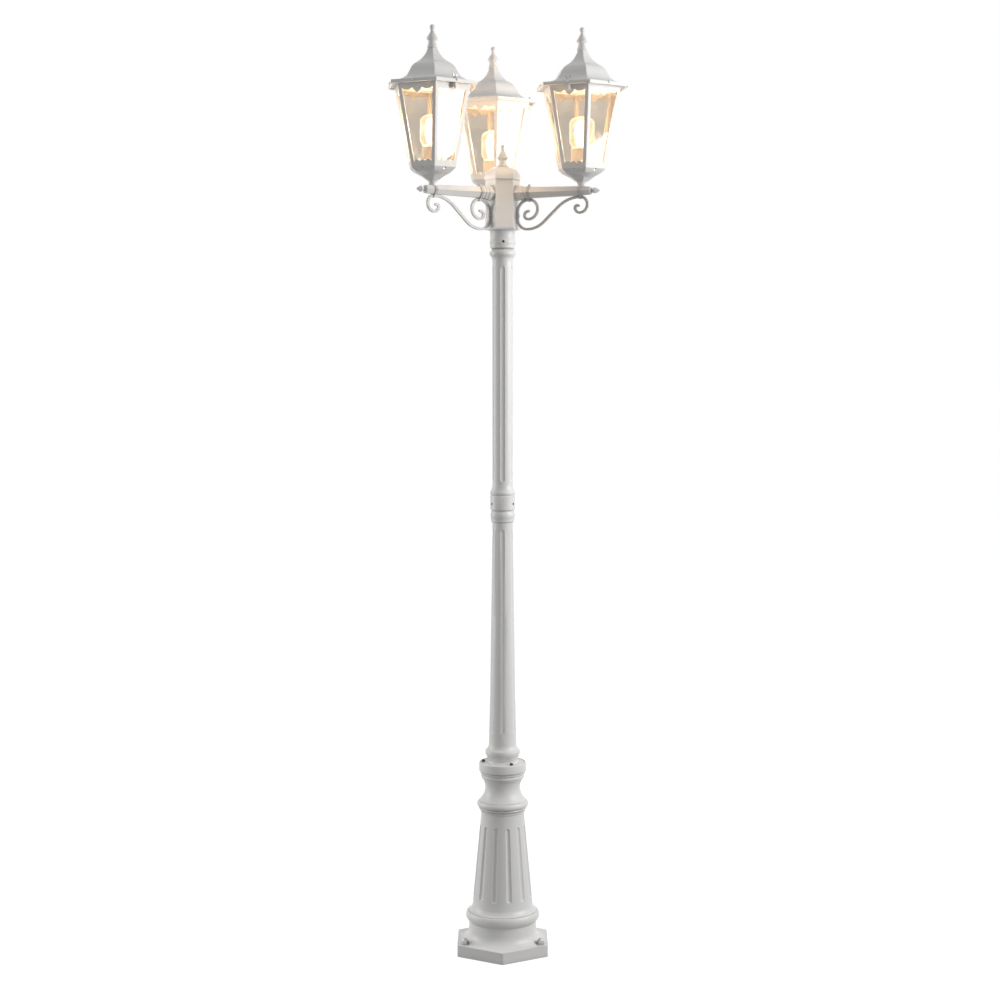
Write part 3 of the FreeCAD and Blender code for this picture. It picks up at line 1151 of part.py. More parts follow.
def pane():
    """One glass pane behind the cage's +X side."""
    foot = CAGE_BOTTOM + SEAT_GAP + PANE_LEDGE + PANE_GAP + PANE_THICKNESS * math.sin(LEAN)
    top = CAGE_TOP - PANE_TOP_DROP
    outer_plane = CAGE_WALL + PANE_GAP
    inner_plane = outer_plane + PANE_THICKNESS
    low = half_side(foot, inner_plane) - PANE_GAP
    high = half_side(top, inner_plane) - PANE_GAP
    corners = ((-low, foot), (low, foot), (high, top), (-high, top), (-low, foot))
    face = Part.Face(Part.makePolygon([Vector(x, slant(z), -inner_plane) for x, z in corners]))
    return on_facet(face.extrude(Vector(0, 0, PANE_THICKNESS)))


def nipple():
    """Threaded tube from the arm up through the bowl's floor."""
    bottom = ARM_HEIGHT + ARM_CABLE_RADIUS
    top = BOWL_FLOOR + NIPPLE_NUT_THICKNESS + 1
    base = Vector(0, 0, bottom)
    return rod(NIPPLE_RADIUS, top - bottom, base).cut(rod(NIPPLE_BORE_RADIUS, top - bottom, base))


def nipple_nut():
    """Lock nut on the bowl's floor."""
    bottom = BOWL_FLOOR + SEAT_GAP
    nut = hex_nut(NIPPLE_NUT_FLATS, NIPPLE_NUT_THICKNESS, bottom)
    return nut.cut(rod(NIPPLE_RADIUS + FIT_GAP, NIPPLE_NUT_THICKNESS, Vector(0, 0, bottom)))


def lampholder():
    """Ceramic holder that stands on the bowl's floor over the lock nut, with a socket for the bulb."""
    bottom = BOWL_FLOOR + SEAT_GAP
    foot_top = bottom + HOLDER_FOOT_THICKNESS
    socket_floor = HOLDER_TOP - HOLDER_SOCKET_DEPTH
    nut_room = NIPPLE_NUT_FLATS / 2 / FLAT_SHARE + LIFT_GAP
    nut_room_top = bottom + NIPPLE_NUT_THICKNESS + 2
    shape = turned((
        (nut_room, bottom),
        (HOLDER_FOOT_RADIUS, bottom),
        (HOLDER_FOOT_RADIUS, foot_top),
        (HOLDER_RADIUS - 2, foot_top + 2),
        (HOLDER_RADIUS, foot_top + 6),
        (HOLDER_RADIUS, HOLDER_TOP - 2),
        (HOLDER_RADIUS - 2, HOLDER_TOP),
        (BULB_CAP_RADIUS + LIFT_GAP, HOLDER_TOP),
        (BULB_CAP_RADIUS + LIFT_GAP, socket_floor),
        (NIPPLE_RADIUS + 1, socket_floor),
        (NIPPLE_RADIUS + 1, nut_room_top),
        (nut_room, nut_room_top),
    ))
    contact = turned((
        (0, socket_floor - 6),
        (NIPPLE_RADIUS + 2, socket_floor - 6),
        (NIPPLE_RADIUS + 2, socket_floor),
        (0, socket_floor),
    ))
    return shape.fuse(contact)


def bulb_cap():
    """Screw cap of the bulb, with its rounded thread shown as ridges and a contact below."""
    top = HOLDER_TOP + SEAT_GAP
    bottom = top - HOLDER_SOCKET_DEPTH + LIFT_GAP
    ridges = 4
    thread_bottom = top - 4 - ridges * BULB_THREAD_PITCH
    root = BULB_CAP_RADIUS - 0.8
    outline = [
        (0, bottom), (4, bottom), (4.5, bottom + 1.5), (root - 2, thread_bottom - 2), (root, thread_bottom),
    ]
    for i in range(ridges):
        ridge = thread_bottom + (i + 1) * BULB_THREAD_PITCH
        outline += [(BULB_CAP_RADIUS, ridge - BULB_THREAD_PITCH / 2), (root, ridge)]
    outline += [(root, top), (0, top)]
    return turned(outline)


def bulb_glass():
    """Blown bulb: a capsule with a rounded top, open below into the cap."""
    bottom = HOLDER_TOP + 2 * SEAT_GAP
    wall = BULB_WALL
    inner_neck = BULB_CAP_RADIUS - 4
    brow_radius = BULB_RADIUS * 0.78
    brow = BULB_DOME_HEIGHT + (BULB_TOP - BULB_DOME_HEIGHT) * 0.65
    return turned((
        (inner_neck, bottom),
        (BULB_NECK_RADIUS - 2, bottom),
        (BULB_NECK_RADIUS, bottom + 2),
        (BULB_RADIUS, BULB_SHOULDER_HEIGHT, -0.8),
        (BULB_RADIUS, BULB_DOME_HEIGHT),
        (brow_radius, brow, 1.6),
        (0, BULB_TOP, "dome"),
        (0, BULB_TOP - wall),
        (brow_radius - wall, brow - wall),
        (BULB_RADIUS - wall, BULB_DOME_HEIGHT),
        (BULB_RADIUS - wall, BULB_SHOULDER_HEIGHT),
        (BULB_NECK_RADIUS - wall, bottom + 3),
        (inner_neck, bottom + 2),
    ))


def roof():
    """Cast roof: an ogee of six sides on a flat brim with a hanging lip, and lugs for the screws."""
    seat = CAGE_TOP + LIFT_GAP
    brim_top = seat + BRIM_THICKNESS
    brim = BRIM_CORNER_RADIUS
    inside = brim - BRIM_LIP_WIDTH
    crown = brim_top + ROOF_HEIGHT
    shape = six_sided((
        (brim, brim_top - BRIM_LIP_DEPTH),
        (brim, brim_top),
        (ROOF_SPRING_RADIUS, brim_top + ROOF_SPRING_RISE, ROOF_SPRING_BOW),
        (ROOF_SHOULDER_RADIUS, brim_top + ROOF_SHOULDER_RISE),
        (ROOF_HIP_RADIUS, brim_top + ROOF_HIP_RISE, ROOF_HIP_BOW),
        (CROWN_CORNER_RADIUS, crown, ROOF_CROWN_BOW),
    ))
    cuts = [
        six_sided(((inside, brim_top - BRIM_LIP_DEPTH), (inside, seat))),
        six_sided((
            (ROOF_SPRING_RADIUS + 14, seat),
            (ROOF_SPRING_RADIUS + 14, brim_top + 1),
            (ROOF_SPRING_RADIUS - 1.5, brim_top + ROOF_SPRING_RISE - 1.6 * ROOF_WALL),
            (ROOF_SHOULDER_RADIUS - 1.1 * ROOF_WALL, brim_top + ROOF_SHOULDER_RISE - 0.7 * ROOF_WALL),
            (ROOF_HIP_RADIUS - 0.7 * ROOF_WALL, brim_top + ROOF_HIP_RISE - 1.4 * ROOF_WALL),
            (ROOF_HIP_RADIUS / 2, (brim_top + ROOF_HIP_RISE + crown) / 2 - 2.6 * ROOF_WALL),
            (CROWN_CORNER_RADIUS, crown - 4 * ROOF_WALL),
        )),
        rod(FINIAL_STUD_RADIUS + FIT_GAP, ROOF_HEIGHT, Vector(0, 0, crown - ROOF_HEIGHT / 2)),
    ]
    lugs = []
    for i in range(SIDES):
        reach = brim * FLAT_SHARE - ROOF_LUG_RADIUS * 0.4
        spot = polar(30.0 + 60.0 * i, reach, brim_top - BRIM_LIP_DEPTH * 0.5)
        lugs.append(rod(ROOF_LUG_RADIUS, BRIM_LIP_DEPTH * 0.5 + 1.5, spot))
    for angle in (90.0, 270.0):
        spot = polar(angle, lug_distance(), brim_top - 1)
        lugs.append(rod(WING_HUB_RADIUS + 1.5, wing_seat() - spot.z, spot))
        below = polar(angle, lug_distance(), seat - BRIM_THICKNESS)
        cuts.append(rod(WING_SCREW_RADIUS + LIFT_GAP, 3 * BRIM_THICKNESS, below))
    return shape.fuse(lugs).cut(cuts)


def wing_seat():
    """Height of the small flat that a wing screw's hub stands on."""
    return CAGE_TOP + LIFT_GAP + BRIM_THICKNESS + 2.5


def wing_screw():
    """Screw with two upturned wings, about its own axis, seen along the brim."""
    seat = wing_seat() + LIFT_GAP
    shank = turned((
        (0, seat - WING_SCREW_LENGTH),
        (WING_SCREW_RADIUS, seat - WING_SCREW_LENGTH),
        (WING_SCREW_RADIUS, seat),
        (WING_HUB_RADIUS, seat),
        (WING_HUB_RADIUS - 0.6, seat + WING_HUB_HEIGHT),
        (0, seat + WING_HUB_HEIGHT),
    ))
    half = WING_SPAN / 2
    wings = []
    for side in (-1, 1):
        corners = (
            (side * 0.5, seat + 1.5),
            (side * half * 0.7, seat + WING_HEIGHT * 0.55),
            (side * half, seat + WING_HEIGHT),
            (side * half * 0.62, seat + WING_HEIGHT),
            (side * 1.6, seat + WING_HUB_HEIGHT - 0.5),
            (side * 0.5, seat + 1.5),
        )
        face = Part.Face(Part.makePolygon([Vector(x, -WING_THICKNESS / 2, z) for x, z in corners]))
        wings.append(face.extrude(Vector(0, WING_THICKNESS, 0)))
    return shank.fuse(wings)


# ---------------------------------------------------------------- assembly

def main():
    write("pedestal", pedestal())
    write("flange_screws", flange_screws())
    write("anchor_washers", anchor_washers())
    write("anchor_cap_nuts", anchor_cap_nuts())
    write("lower_pole", lower_pole())
    write("upper_pole", upper_pole())
    mid_spigot = SLEEVE_BORE_RADIUS - FIT_GAP
    mid_face = SLEEVE_RADIUS - GRUB_INSET
    write("mid_grub_screws", grub_screws(MID_GRUB_TURN, MID_GRUB_HEIGHT, mid_spigot, mid_face))
    write("hub", hub())
    head_face = HEAD_SLEEVE_RADIUS - GRUB_INSET
    write("head_grub_screws", grub_screws(HEAD_GRUB_TURN, HEAD_GRUB_HEIGHT, HEAD_SPIGOT_RADIUS, head_face))
    write("hub_cap", hub_cap())
    cap_top = HUB_TOP + HUB_CAP_HEIGHT + 2 * SEAT_GAP
    write("hub_finial", finial(cap_top, HUB_FINIAL_HEIGHT, HUB_FINIAL_RADII))
    write("terminal_block", terminal_block())

    arm_nuts, clips, scroll_screws, gallery_screws, nipples, nipple_nuts = [], [], [], [], [], []
    for name, azimuth in ARM_AZIMUTHS.items():
        angle = facing(azimuth + HEAD_TURN)

        def at_lantern(shape):
            return spun(moved(shape, LANTERN_REACH), angle)

        write(f"{name}_arm", spun(arm(), angle))
        write(f"{name}_arm_tip", spun(arm_tip(), angle))
        write(f"{name}_scroll", spun(scroll(), angle))
        arm_nuts.append(spun(arm_nut(), angle))
        scroll_screws.append(spun(scroll_screw(), angle))
        clips.append(spun(clip(inner_clip_reach(), False), angle))
        clips.append(spun(clip(LANTERN_REACH - OUTER_CLIP_INSET, True), angle))

        write(f"{name}_bowl", at_lantern(bowl()))
        write(f"{name}_cage", at_lantern(cage()))
        panes = [spun(pane(), 30.0 + 60.0 * i) for i in range(SIDES)]
        write(f"{name}_panes", at_lantern(Part.makeCompound(panes)))
        gallery_screws += [at_lantern(screw) for screw in cage_screws()]
        nipples.append(at_lantern(nipple()))
        nipple_nuts.append(at_lantern(nipple_nut()))
        write(f"{name}_lampholder", at_lantern(lampholder()))
        write(f"{name}_bulb_cap", at_lantern(bulb_cap()))
        write(f"{name}_bulb_glass", at_lantern(bulb_glass()))
        write(f"{name}_roof", at_lantern(roof()))
        crown = CAGE_TOP + LIFT_GAP + BRIM_THICKNESS + ROOF_HEIGHT + SEAT_GAP
        write(f"{name}_roof_finial", at_lantern(finial(crown, ROOF_FINIAL_HEIGHT, ROOF_FINIAL_RADII)))
        for number, side in (("1", 90.0), ("2", 270.0)):
            screw = spun(moved(wing_screw(), 0, -lug_distance()), side + 90.0)
            write(f"{name}_wing_screw_{number}", at_lantern(screw))

    write("arm_nuts", Part.makeCompound(arm_nuts))
    write("arm_clips", Part.makeCompound(clips))
    write("scroll_screws", Part.makeCompound(scroll_screws))
    write("cage_screws", Part.makeCompound(gallery_screws))
    write("lantern_nipples", Part.makeCompound(nipples))
    write("lantern_nuts", Part.makeCompound(nipple_nuts))


main()
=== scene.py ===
"""Looks of the lamp post with three hexagonal lanterns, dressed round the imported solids.

Metres and degrees, +Z up, -Y is the front, the origin is the centre of the foot's underside.
"""
import json
import math

import bmesh
import bpy
from mathutils import Matrix, Vector


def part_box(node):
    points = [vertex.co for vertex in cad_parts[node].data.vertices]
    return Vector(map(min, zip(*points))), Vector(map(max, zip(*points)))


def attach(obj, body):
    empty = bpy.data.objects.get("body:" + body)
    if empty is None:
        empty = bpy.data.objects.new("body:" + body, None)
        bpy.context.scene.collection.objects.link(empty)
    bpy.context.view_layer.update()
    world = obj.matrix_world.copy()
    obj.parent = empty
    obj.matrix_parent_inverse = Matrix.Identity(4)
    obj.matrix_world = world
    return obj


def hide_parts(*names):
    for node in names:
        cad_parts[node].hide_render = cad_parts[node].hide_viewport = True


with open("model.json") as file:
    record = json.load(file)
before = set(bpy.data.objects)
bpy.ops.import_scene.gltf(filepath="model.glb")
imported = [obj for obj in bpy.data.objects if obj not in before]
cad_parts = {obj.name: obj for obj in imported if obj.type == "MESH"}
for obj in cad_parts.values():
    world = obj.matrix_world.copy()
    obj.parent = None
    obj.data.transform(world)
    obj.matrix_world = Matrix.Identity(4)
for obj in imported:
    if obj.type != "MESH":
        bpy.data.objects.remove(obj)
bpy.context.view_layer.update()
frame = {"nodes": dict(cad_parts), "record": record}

RECORD = frame["record"]
NODES = frame["nodes"]
BODY_OF = {node: body for body, members in RECORD["behaviour"]["bodies"].items() for node in members}
SLOT_OF = {part["node"]: part["material_slot"] for part in RECORD["subparts"]}

# The front's angle about Z. Azimuths below are counted from it.
FRONT = -90.0

# The head
HEAD_TURN = 6.6
LANTERNS = {"left": -60.0, "right": 60.0, "rear": 180.0}
LANTERN_REACH = 0.2004


# ---------------------------------------------------------------- node trees

# The Mix node's sockets for colours
COLOR_A, COLOR_B, COLOR_RESULT = 6, 7, 2


class Shader:
    """The node tree of a material or a world, built a node at a time."""

    def __init__(self, owner, output="ShaderNodeOutputMaterial"):
        owner.use_nodes = True
        self.owner = owner
        self.tree = owner.node_tree
        self.tree.nodes.clear()
        self.output = self.node(output)

    def node(self, kind, inputs=None, **settings):
        made = self.tree.nodes.new(kind)
        for key, value in settings.items():
            setattr(made, key, value)
        for key, value in (inputs or {}).items():
            self.feed(made.inputs[key], value)
        return made

    def feed(self, socket, value):
        if isinstance(value, bpy.types.NodeSocket):
            self.tree.links.new(value, socket)
        else:
            socket.default_value = value

    def principled(self, color, **inputs):
        shader = self.node("ShaderNodeBsdfPrincipled", {"Base Color": color})
        for key, value in inputs.items():
            self.feed(shader.inputs[key.replace("_", " ")], value)
        return shader

    def noise(self, scale, detail=3.0, roughness=0.5, stretch=(1.0, 1.0, 1.0)):
        place = self.node("ShaderNodeTexCoord")
        mapping = self.node("ShaderNodeMapping", {"Vector": place.outputs["Object"], "Scale": stretch})
        return self.node("ShaderNodeTexNoise", {
            "Vector": mapping.outputs["Vector"], "Scale": scale, "Detail": detail, "Roughness": roughness,
        }).outputs["Fac"]

    def spread(self, value, over, to):
        """The stretch of a value that `over` names, spread from the first to the second of `to`."""
        return self.node("ShaderNodeMapRange", {
            "Value": value, "From Min": over[0], "From Max": over[1], "To Min": to[0], "To Max": to[1],
        }).outputs["Result"]

    def mix(self, share, first, second):
        made = self.node("ShaderNodeMix", {"Factor": share}, data_type="RGBA")
        self.feed(made.inputs[COLOR_A], first)
        self.feed(made.inputs[COLOR_B], second)
        return made.outputs[COLOR_RESULT]

    def mix_shaders(self, share, first, second):
        return self.node("ShaderNodeMixShader", {0: share, 1: first.outputs[0], 2: second.outputs[0]})

    def bump(self, height, strength, distance, normal=None):
        made = self.node("ShaderNodeBump", {"Height": height, "Strength": strength, "Distance": distance})
        if normal is not None:
            self.feed(made.inputs["Normal"], normal)
        return made.outputs["Normal"]

    def looked_at(self):
        """1 for the camera's rays and for those in gloss and glass, and 0 for rays that gather light."""
        path = self.node("ShaderNodeLightPath")
        either = path.outputs["Is Camera Ray"]
        for ray in ("Is Glossy Ray", "Is Transmission Ray"):
            joined = self.node("ShaderNodeMath", {0: either, 1: path.outputs[ray]}, operation="MAXIMUM")
            either = joined.outputs[0]
        return either

    def done(self, shader):
        self.feed(self.output.inputs["Surface"], shader.outputs[0])
        return self.owner


def material_tree(name):
    return Shader(bpy.data.materials.new(name))


def rgba(color, share=1.0):
    """An opaque colour, darker where a share under 1 is given."""
    return (*(part * share for part in color), 1.0)


# ---------------------------------------------------------------- materials

def paint(name, color, corner_shade):
    """Satin paint on a casting: orange peel, faint cast waviness, and painted shade that darkens its corners
    and creases.
    """
    look = material_tree(name)
    blotch = look.spread(look.noise(scale=9.0, roughness=0.55), over=(0.35, 0.75), to=(0.0, 0.35))
    tone = look.mix(blotch, rgba(color), rgba(color, 0.965))
    # Painted shade: the colour darkens towards the paint's second colour where nearby surfaces close in on
    # the point
    open_to_air = look.node("ShaderNodeAmbientOcclusion", {"Distance": 0.012}, samples=6).outputs["AO"]
    tone = look.mix(look.spread(open_to_air, over=(0.25, 0.95), to=(0.55, 0.0)), tone, rgba(corner_shade))
    rough = look.spread(look.noise(scale=60.0, detail=4.0, roughness=0.6), over=(0.3, 0.7), to=(0.36, 0.5))
    wavy = look.bump(look.noise(scale=55.0, detail=2.0), strength=0.05, distance=0.002)
    peel = look.bump(look.noise(scale=520.0, detail=2.0), strength=0.1, distance=0.0004, normal=wavy)
    return look.done(look.principled(
        tone, Roughness=rough, Normal=peel, Coat_Weight=0.15, Coat_Roughness=0.25, IOR=1.5,
    ))


def metal(name, color, roughness=(0.25, 0.4), metallic=1.0):
    """Metal with fine wear in its tone, its gloss and its surface."""
    look = material_tree(name)
    wear = look.noise(scale=400.0, detail=4.0, roughness=0.6)
    tone = look.mix(look.spread(wear, over=(0.35, 0.7), to=(0.0, 0.5)), rgba(color), rgba(color, 0.8))
    rough = look.spread(wear, over=(0.3, 0.7), to=roughness)
    fine = look.bump(wear, strength=0.1, distance=0.0003)
    return look.done(look.principled(tone, Roughness=rough, Metallic=metallic, Normal=fine))


def porcelain(name, color):
    """A pale moulded material, faintly cloudy and grainy."""
    look = material_tree(name)
    cloud = look.noise(scale=120.0)
    tone = look.mix(look.spread(cloud, over=(0.35, 0.7), to=(0.0, 0.4)), rgba(color), rgba(color, 0.93))
    rough = look.spread(cloud, over=(0.3, 0.7), to=(0.42, 0.6))
    fine = look.bump(look.noise(scale=700.0), strength=0.08, distance=0.0003)
    return look.done(look.principled(tone, Roughness=rough, Normal=fine))


def letting_light_through(look, glass, tint):
    """Glass that casts no shadow but its tint."""
    shadow_ray = look.node("ShaderNodeLightPath").outputs["Is Shadow Ray"]
    clear = look.node("ShaderNodeBsdfTransparent", {"Color": rgba(tint)})
    return look.done(look.mix_shaders(shadow_ray, glass, clear))


def pane_glass(name, color, shadow_tint):
    """Old drawn glass, a little wavy and smeared."""
    look = material_tree(name)
    smear = look.noise(scale=38.0, detail=4.0, roughness=0.6, stretch=(1.0, 1.0, 0.5))
    rough = look.spread(smear, over=(0.35, 0.75), to=(0.015, 0.07))
    wavy = look.bump(look.noise(scale=16.0, detail=1.5), strength=0.2, distance=0.002)
    glass = look.principled(rgba(color), Roughness=rough, Normal=wavy, IOR=1.5, Transmission_Weight=1.0)
    return letting_light_through(look, glass, shadow_tint)


def bulb_shell(name, color, glow, shadow_tint):
    """Frosted bulb glass with a faint glow of its own. Its low index keeps the core's size."""
    look = material_tree(name)
    rough = look.spread(look.noise(scale=45.0, detail=2.0), over=(0.3, 0.7), to=(0.25, 0.38))
    glass = look.principled(
        rgba(color), Roughness=rough, IOR=1.02, Transmission_Weight=1.0,
        Emission_Color=rgba(glow), Emission_Strength=0.2,
    )
    return letting_light_through(look, glass, shadow_tint)


def bulb_core(name, color, glow):
    """The white-hot middle of a lit bulb, a little uneven."""
    look = material_tree(name)
    strength = look.spread(look.noise(scale=30.0, detail=2.0), over=(0.3, 0.7), to=(2.3, 2.9))
    return look.done(look.principled(
        rgba(color), Roughness=0.5, Emission_Color=rgba(glow), Emission_Strength=strength,
    ))


# Each paint's second colour is the painted shade for its corners and creases
WHITE = paint("white_powder_coat", (0.80, 0.795, 0.78), corner_shade=(0.46, 0.44, 0.41))
# A darker copy of the white paint for the thin scrolls and arm clips, with painted shade in its colour
SHADED_ROD_PAINT = paint("white_rod_coat_shaded", (0.55, 0.545, 0.535), corner_shade=(0.36, 0.34, 0.31))
DARK = metal("black_screws", (0.07, 0.07, 0.075), (0.35, 0.5), 0.6)
PLATED = metal("plated_screws", (0.48, 0.475, 0.47), (0.3, 0.45), 0.8)
ZINC = metal("zinc_fittings", (0.6, 0.6, 0.58))
WINGS = metal("wing_screw_steel", (0.36, 0.355, 0.35), (0.28, 0.42), 0.9)
CERAMIC = porcelain("holder_porcelain", (0.84, 0.78, 0.69))
PLASTIC = porcelain("terminal_plastic", (0.8, 0.79, 0.74))
CAP_METAL = metal("bulb_cap_metal", (0.75, 0.6, 0.42), (0.2, 0.35))
GLASS = pane_glass("pane_glass", (0.71, 0.662, 0.595), shadow_tint=(0.78, 0.75, 0.7))
SHELL = bulb_shell("bulb_shell", (1.0, 0.9, 0.8), glow=(1.0, 0.66, 0.43), shadow_tint=(1.0, 0.95, 0.88))
CORE = bulb_core("bulb_core", (1.0, 0.9, 0.75), glow=(1.0, 0.86, 0.66))
BY_SLOT = {
    "white_paint": WHITE, "dark_screws": DARK, "plated_fasteners": PLATED, "zinc_fittings": ZINC,
    "wing_screw_metal": WINGS, "terminal_plastic": PLASTIC, "holder_ceramic": CERAMIC,
    "clear_glass": GLASS, "bulb_cap_metal": CAP_METAL, "lit_bulb": SHELL,
}


# ---------------------------------------------------------------- pieces

# Edges that turn by more than this are sharp, or rounded where a node has a rounding
SHARP_OVER = 32.0
ROUNDING_STEPS = 2
WIDE_ROUNDING = 0.0015
WIDE_ROUNDING_STEPS = 3

# How near vertices, a cut and flat faces have to be to count as one
WELD_WITHIN = 1e-6
CUT_WITHIN = 1e-7
FLAT_WITHIN = 0.6


def link(mesh, material, body, replaced=()):
    """Put a mesh into the scene as a piece of a body, under the mesh's name."""
    piece = bpy.data.objects.new(mesh.name, mesh)
    bpy.context.scene.collection.objects.link(piece)
    mesh.materials.clear()
    mesh.materials.append(material)
    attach(piece, body)
    if replaced:
        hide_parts(*replaced)
    return piece


def soften(mesh, angle):
    """Smooth shading that keeps the edges over an angle sharp."""
    mesh.shade_smooth()
    mesh.set_sharp_from_angle(angle=math.radians(angle))


def round_edges(piece, width):
    """Round a piece's sharp edges."""
    rounding = piece.modifiers.new("rounding", "BEVEL")
    rounding.width = width
    rounding.segments = WIDE_ROUNDING_STEPS if width > WIDE_ROUNDING else ROUNDING_STEPS
    rounding.limit_method = "ANGLE"
    rounding.angle_limit = math.radians(SHARP_OVER)
    rounding.harden_normals = True
    rounding.use_clamp_overlap = True


def write_out(shape, mesh, angle):
    """Fill a mesh from a finished shape, with its faces outwards and its edges over an angle sharp."""
    bmesh.ops.recalc_face_normals(shape, faces=shape.faces)
    shape.to_mesh(mesh)
    shape.free()
    soften(mesh, angle)


def clean_copy(node, name, ceiling=None):
    """A copy of a CAD node's mesh with its flat faces joined, cut off and closed at a ceiling if given."""
    mesh = NODES[node].data.copy()
    mesh.name = name
    if "custom_normal" in mesh.attributes:
        mesh.attributes.remove(mesh.attributes["custom_normal"])
    shape = bmesh.new()
    shape.from_mesh(mesh)
    bmesh.ops.remove_doubles(shape, verts=shape.verts, dist=WELD_WITHIN)
    if ceiling is not None:
        cut = bmesh.ops.bisect_plane(
            shape, geom=shape.verts[:] + shape.edges[:] + shape.faces[:], dist=CUT_WITHIN,
            plane_co=(0, 0, ceiling), plane_no=(0, 0, 1), clear_outer=True,
        )
        rim = [item for item in cut["geom_cut"] if isinstance(item, bmesh.types.BMEdge)]
        bmesh.ops.triangle_fill(shape, use_beauty=True, use_dissolve=False, edges=rim, normal=(0, 0, 1))
    bmesh.ops.dissolve_limit(
        shape, angle_limit=math.radians(FLAT_WITHIN), verts=shape.verts, edges=shape.edges,
    )
    write_out(shape, mesh, SHARP_OVER)
    return mesh


def scaled(node, name, width, height=1.0):
    """A clean copy of a node, scaled about the middle of its foot."""
    low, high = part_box(node)
    seat = Vector(((low[0] + high[0]) / 2, (low[1] + high[1]) / 2, low[2]))
    mesh = clean_copy(node, name)
    for vert in mesh.vertices:
        away = vert.co - seat
        vert.co = seat + Vector((away.x * width, away.y * width, away.z * height))
    return mesh


def lathe(name, outline, segments, angle):
    """A turned mesh about Z from (radius, height) points, closed where the outline meets the axis."""
    shape = bmesh.new()
    turns = [2 * math.pi * step / segments for step in range(segments)]
    rings = []
    for radius, height in outline:
        if radius == 0:
            rings.append([shape.verts.new((0, 0, height))])
            continue
        places = [(radius * math.cos(turn), radius * math.sin(turn), height) for turn in turns]
        rings.append([shape.verts.new(place) for place in places])
    for low, high in zip(rings, rings[1:]):
        for here in range(segments):
            ahead = here + 1
            corners = (
                low[here % len(low)], low[ahead % len(low)], high[ahead % len(high)], high[here % len(high)],
            )
            shape.faces.new(tuple(dict.fromkeys(corners)))
    mesh = bpy.data.meshes.new(name)
    write_out(shape, mesh, angle)
    return mesh


def dress(node, mesh, rounding=0.0, material=None):
    """Show a mesh in a CAD node's place, in the material of its slot unless another is given."""
    slot = SLOT_OF[node]
    piece = link(mesh, material or BY_SLOT[slot], BODY_OF[node], (node,))
    if rounding:
        round_edges(piece, rounding)


def on_lantern(lantern):
    """The matrix that takes a lantern's own frame, on the post's axis, to its place."""
    angle = math.radians(LANTERNS[lantern] + HEAD_TURN + FRONT)
    return Matrix.Rotation(angle, 4, "Z") @ Matrix.Translation((LANTERN_REACH, 0, 0))


# ---------------------------------------------------------------- pedestal shaft

# The casting over the bell, up its outside and down its inside, as (radius, height), with the photograph's
# lips, creases and grooves, which the solids don't have
SHAFT_CUT = 0.056
BELL_TOP = [(0.0820, SHAFT_CUT), (0.0818, 0.0640), (0.0814, 0.0700), (0.0812, 0.0726)]
BASE_BEAD = [
    (0.0826, 0.0740), (0.0852, 0.0766), (0.0878, 0.0806), (0.0892, 0.0854), (0.0891, 0.0900),
    (0.0878, 0.0946), (0.0859, 0.0976), (0.0838, 0.0986),
]
BASE_CREASE = [(0.0824, 0.0984), (0.0828, 0.1000)]
SHAFT_FLARE = [(0.0804, 0.1016), (0.0780, 0.1042), (0.0758, 0.1074), (0.0743, 0.1100)]
SHAFT_FOOT = (0.0735, 0.1120)
SHAFT_HEAD = (0.0518, 0.3400)
LOWER_LIP = [(0.0520, 0.3418), (0.0542, 0.3432), (0.0544, 0.3464), (0.0528, 0.3474), (0.0528, 0.3486)]
UPPER_LIP = [(0.0572, 0.3498), (0.0582, 0.3520), (0.0574, 0.3534), (0.0562, 0.3540)]
SHAFT_RING = [
    (0.0588, 0.3552), (0.0612, 0.3574), (0.0622, 0.3604), (0.0618, 0.3640), (0.0604, 0.3670),
    (0.0588, 0.3690),
]
RING_CREASE = [(0.0566, 0.3694), (0.0568, 0.3708)]
THROAT = [
    (0.0546, 0.3730), (0.0516, 0.3770), (0.0478, 0.3825), (0.0448, 0.3885), (0.0430, 0.3945),
    (0.0422, 0.4010), (0.0427, 0.4085), (0.0443, 0.4140), (0.0466, 0.4195), (0.0494, 0.4243),
]
COLLAR_LIPS = [
    (0.0514, 0.4264), (0.0521, 0.4294), (0.0518, 0.4324), (0.0508, 0.4338), (0.0524, 0.4348),
    (0.0537, 0.4364), (0.0539, 0.4388), (0.0528, 0.4402),
]
COLLAR = [
    (0.0556, 0.4414), (0.0570, 0.4430), (0.0572, 0.4460), (0.0572, 0.4595), (0.0566, 0.4624),
    (0.0550, 0.4640),
]
SHAFT_INSIDE = [
    (0.0528, 0.4640), (0.0528, 0.4550), (0.0364, 0.4550), (0.0364, 0.4040), (0.0304, 0.4040),
    (0.0304, 0.3990), (0.0430, 0.3650), (0.0430, 0.3330), (0.0640, 0.1120), (0.0760, 0.0670),
    (0.0760, SHAFT_CUT),
]
UNDER_SHAFT = BELL_TOP + BASE_BEAD + BASE_CREASE + SHAFT_FLARE
OVER_SHAFT = LOWER_LIP + UPPER_LIP + SHAFT_RING + RING_CREASE + THROAT + COLLAR_LIPS + COLLAR
SHAFT_SHARP_OVER = 30.0

FLUTES = 12
FLUTE_TURN = 13.0
FLUTE_HALF_ANGLE = 5.6
FLUTE_DEPTH = 0.0031
FLUTE_LOW, FLUTE_HIGH = 0.132, 0.311
FLUTE_END = 0.007

# Where the columns of vertices lie across a flute, in half widths, and how many lie between two flutes
FLUTE_SHARES = (-1.0, -0.85, -0.6, -0.3, 0.0, 0.3, 0.6, 0.85, 1.0)
PLAIN_COLUMNS = 7

# The rings of vertices along a flute: in a round end, as shares of its length from the straight part to the
# tip, where the columns keep a little of their spread, then in the straight part, then just past the tip
FLUTE_END_SHARES = (1.0, 0.95, 0.82, 0.6, 0.3, 0.0)
FLUTE_LEAST_WIDTH = 0.15
FLUTE_ROWS = 8
FLUTE_MARGIN = 0.003

# Half of the width over the depth of the arc across a flute
FLUTE_ARC = 2.0


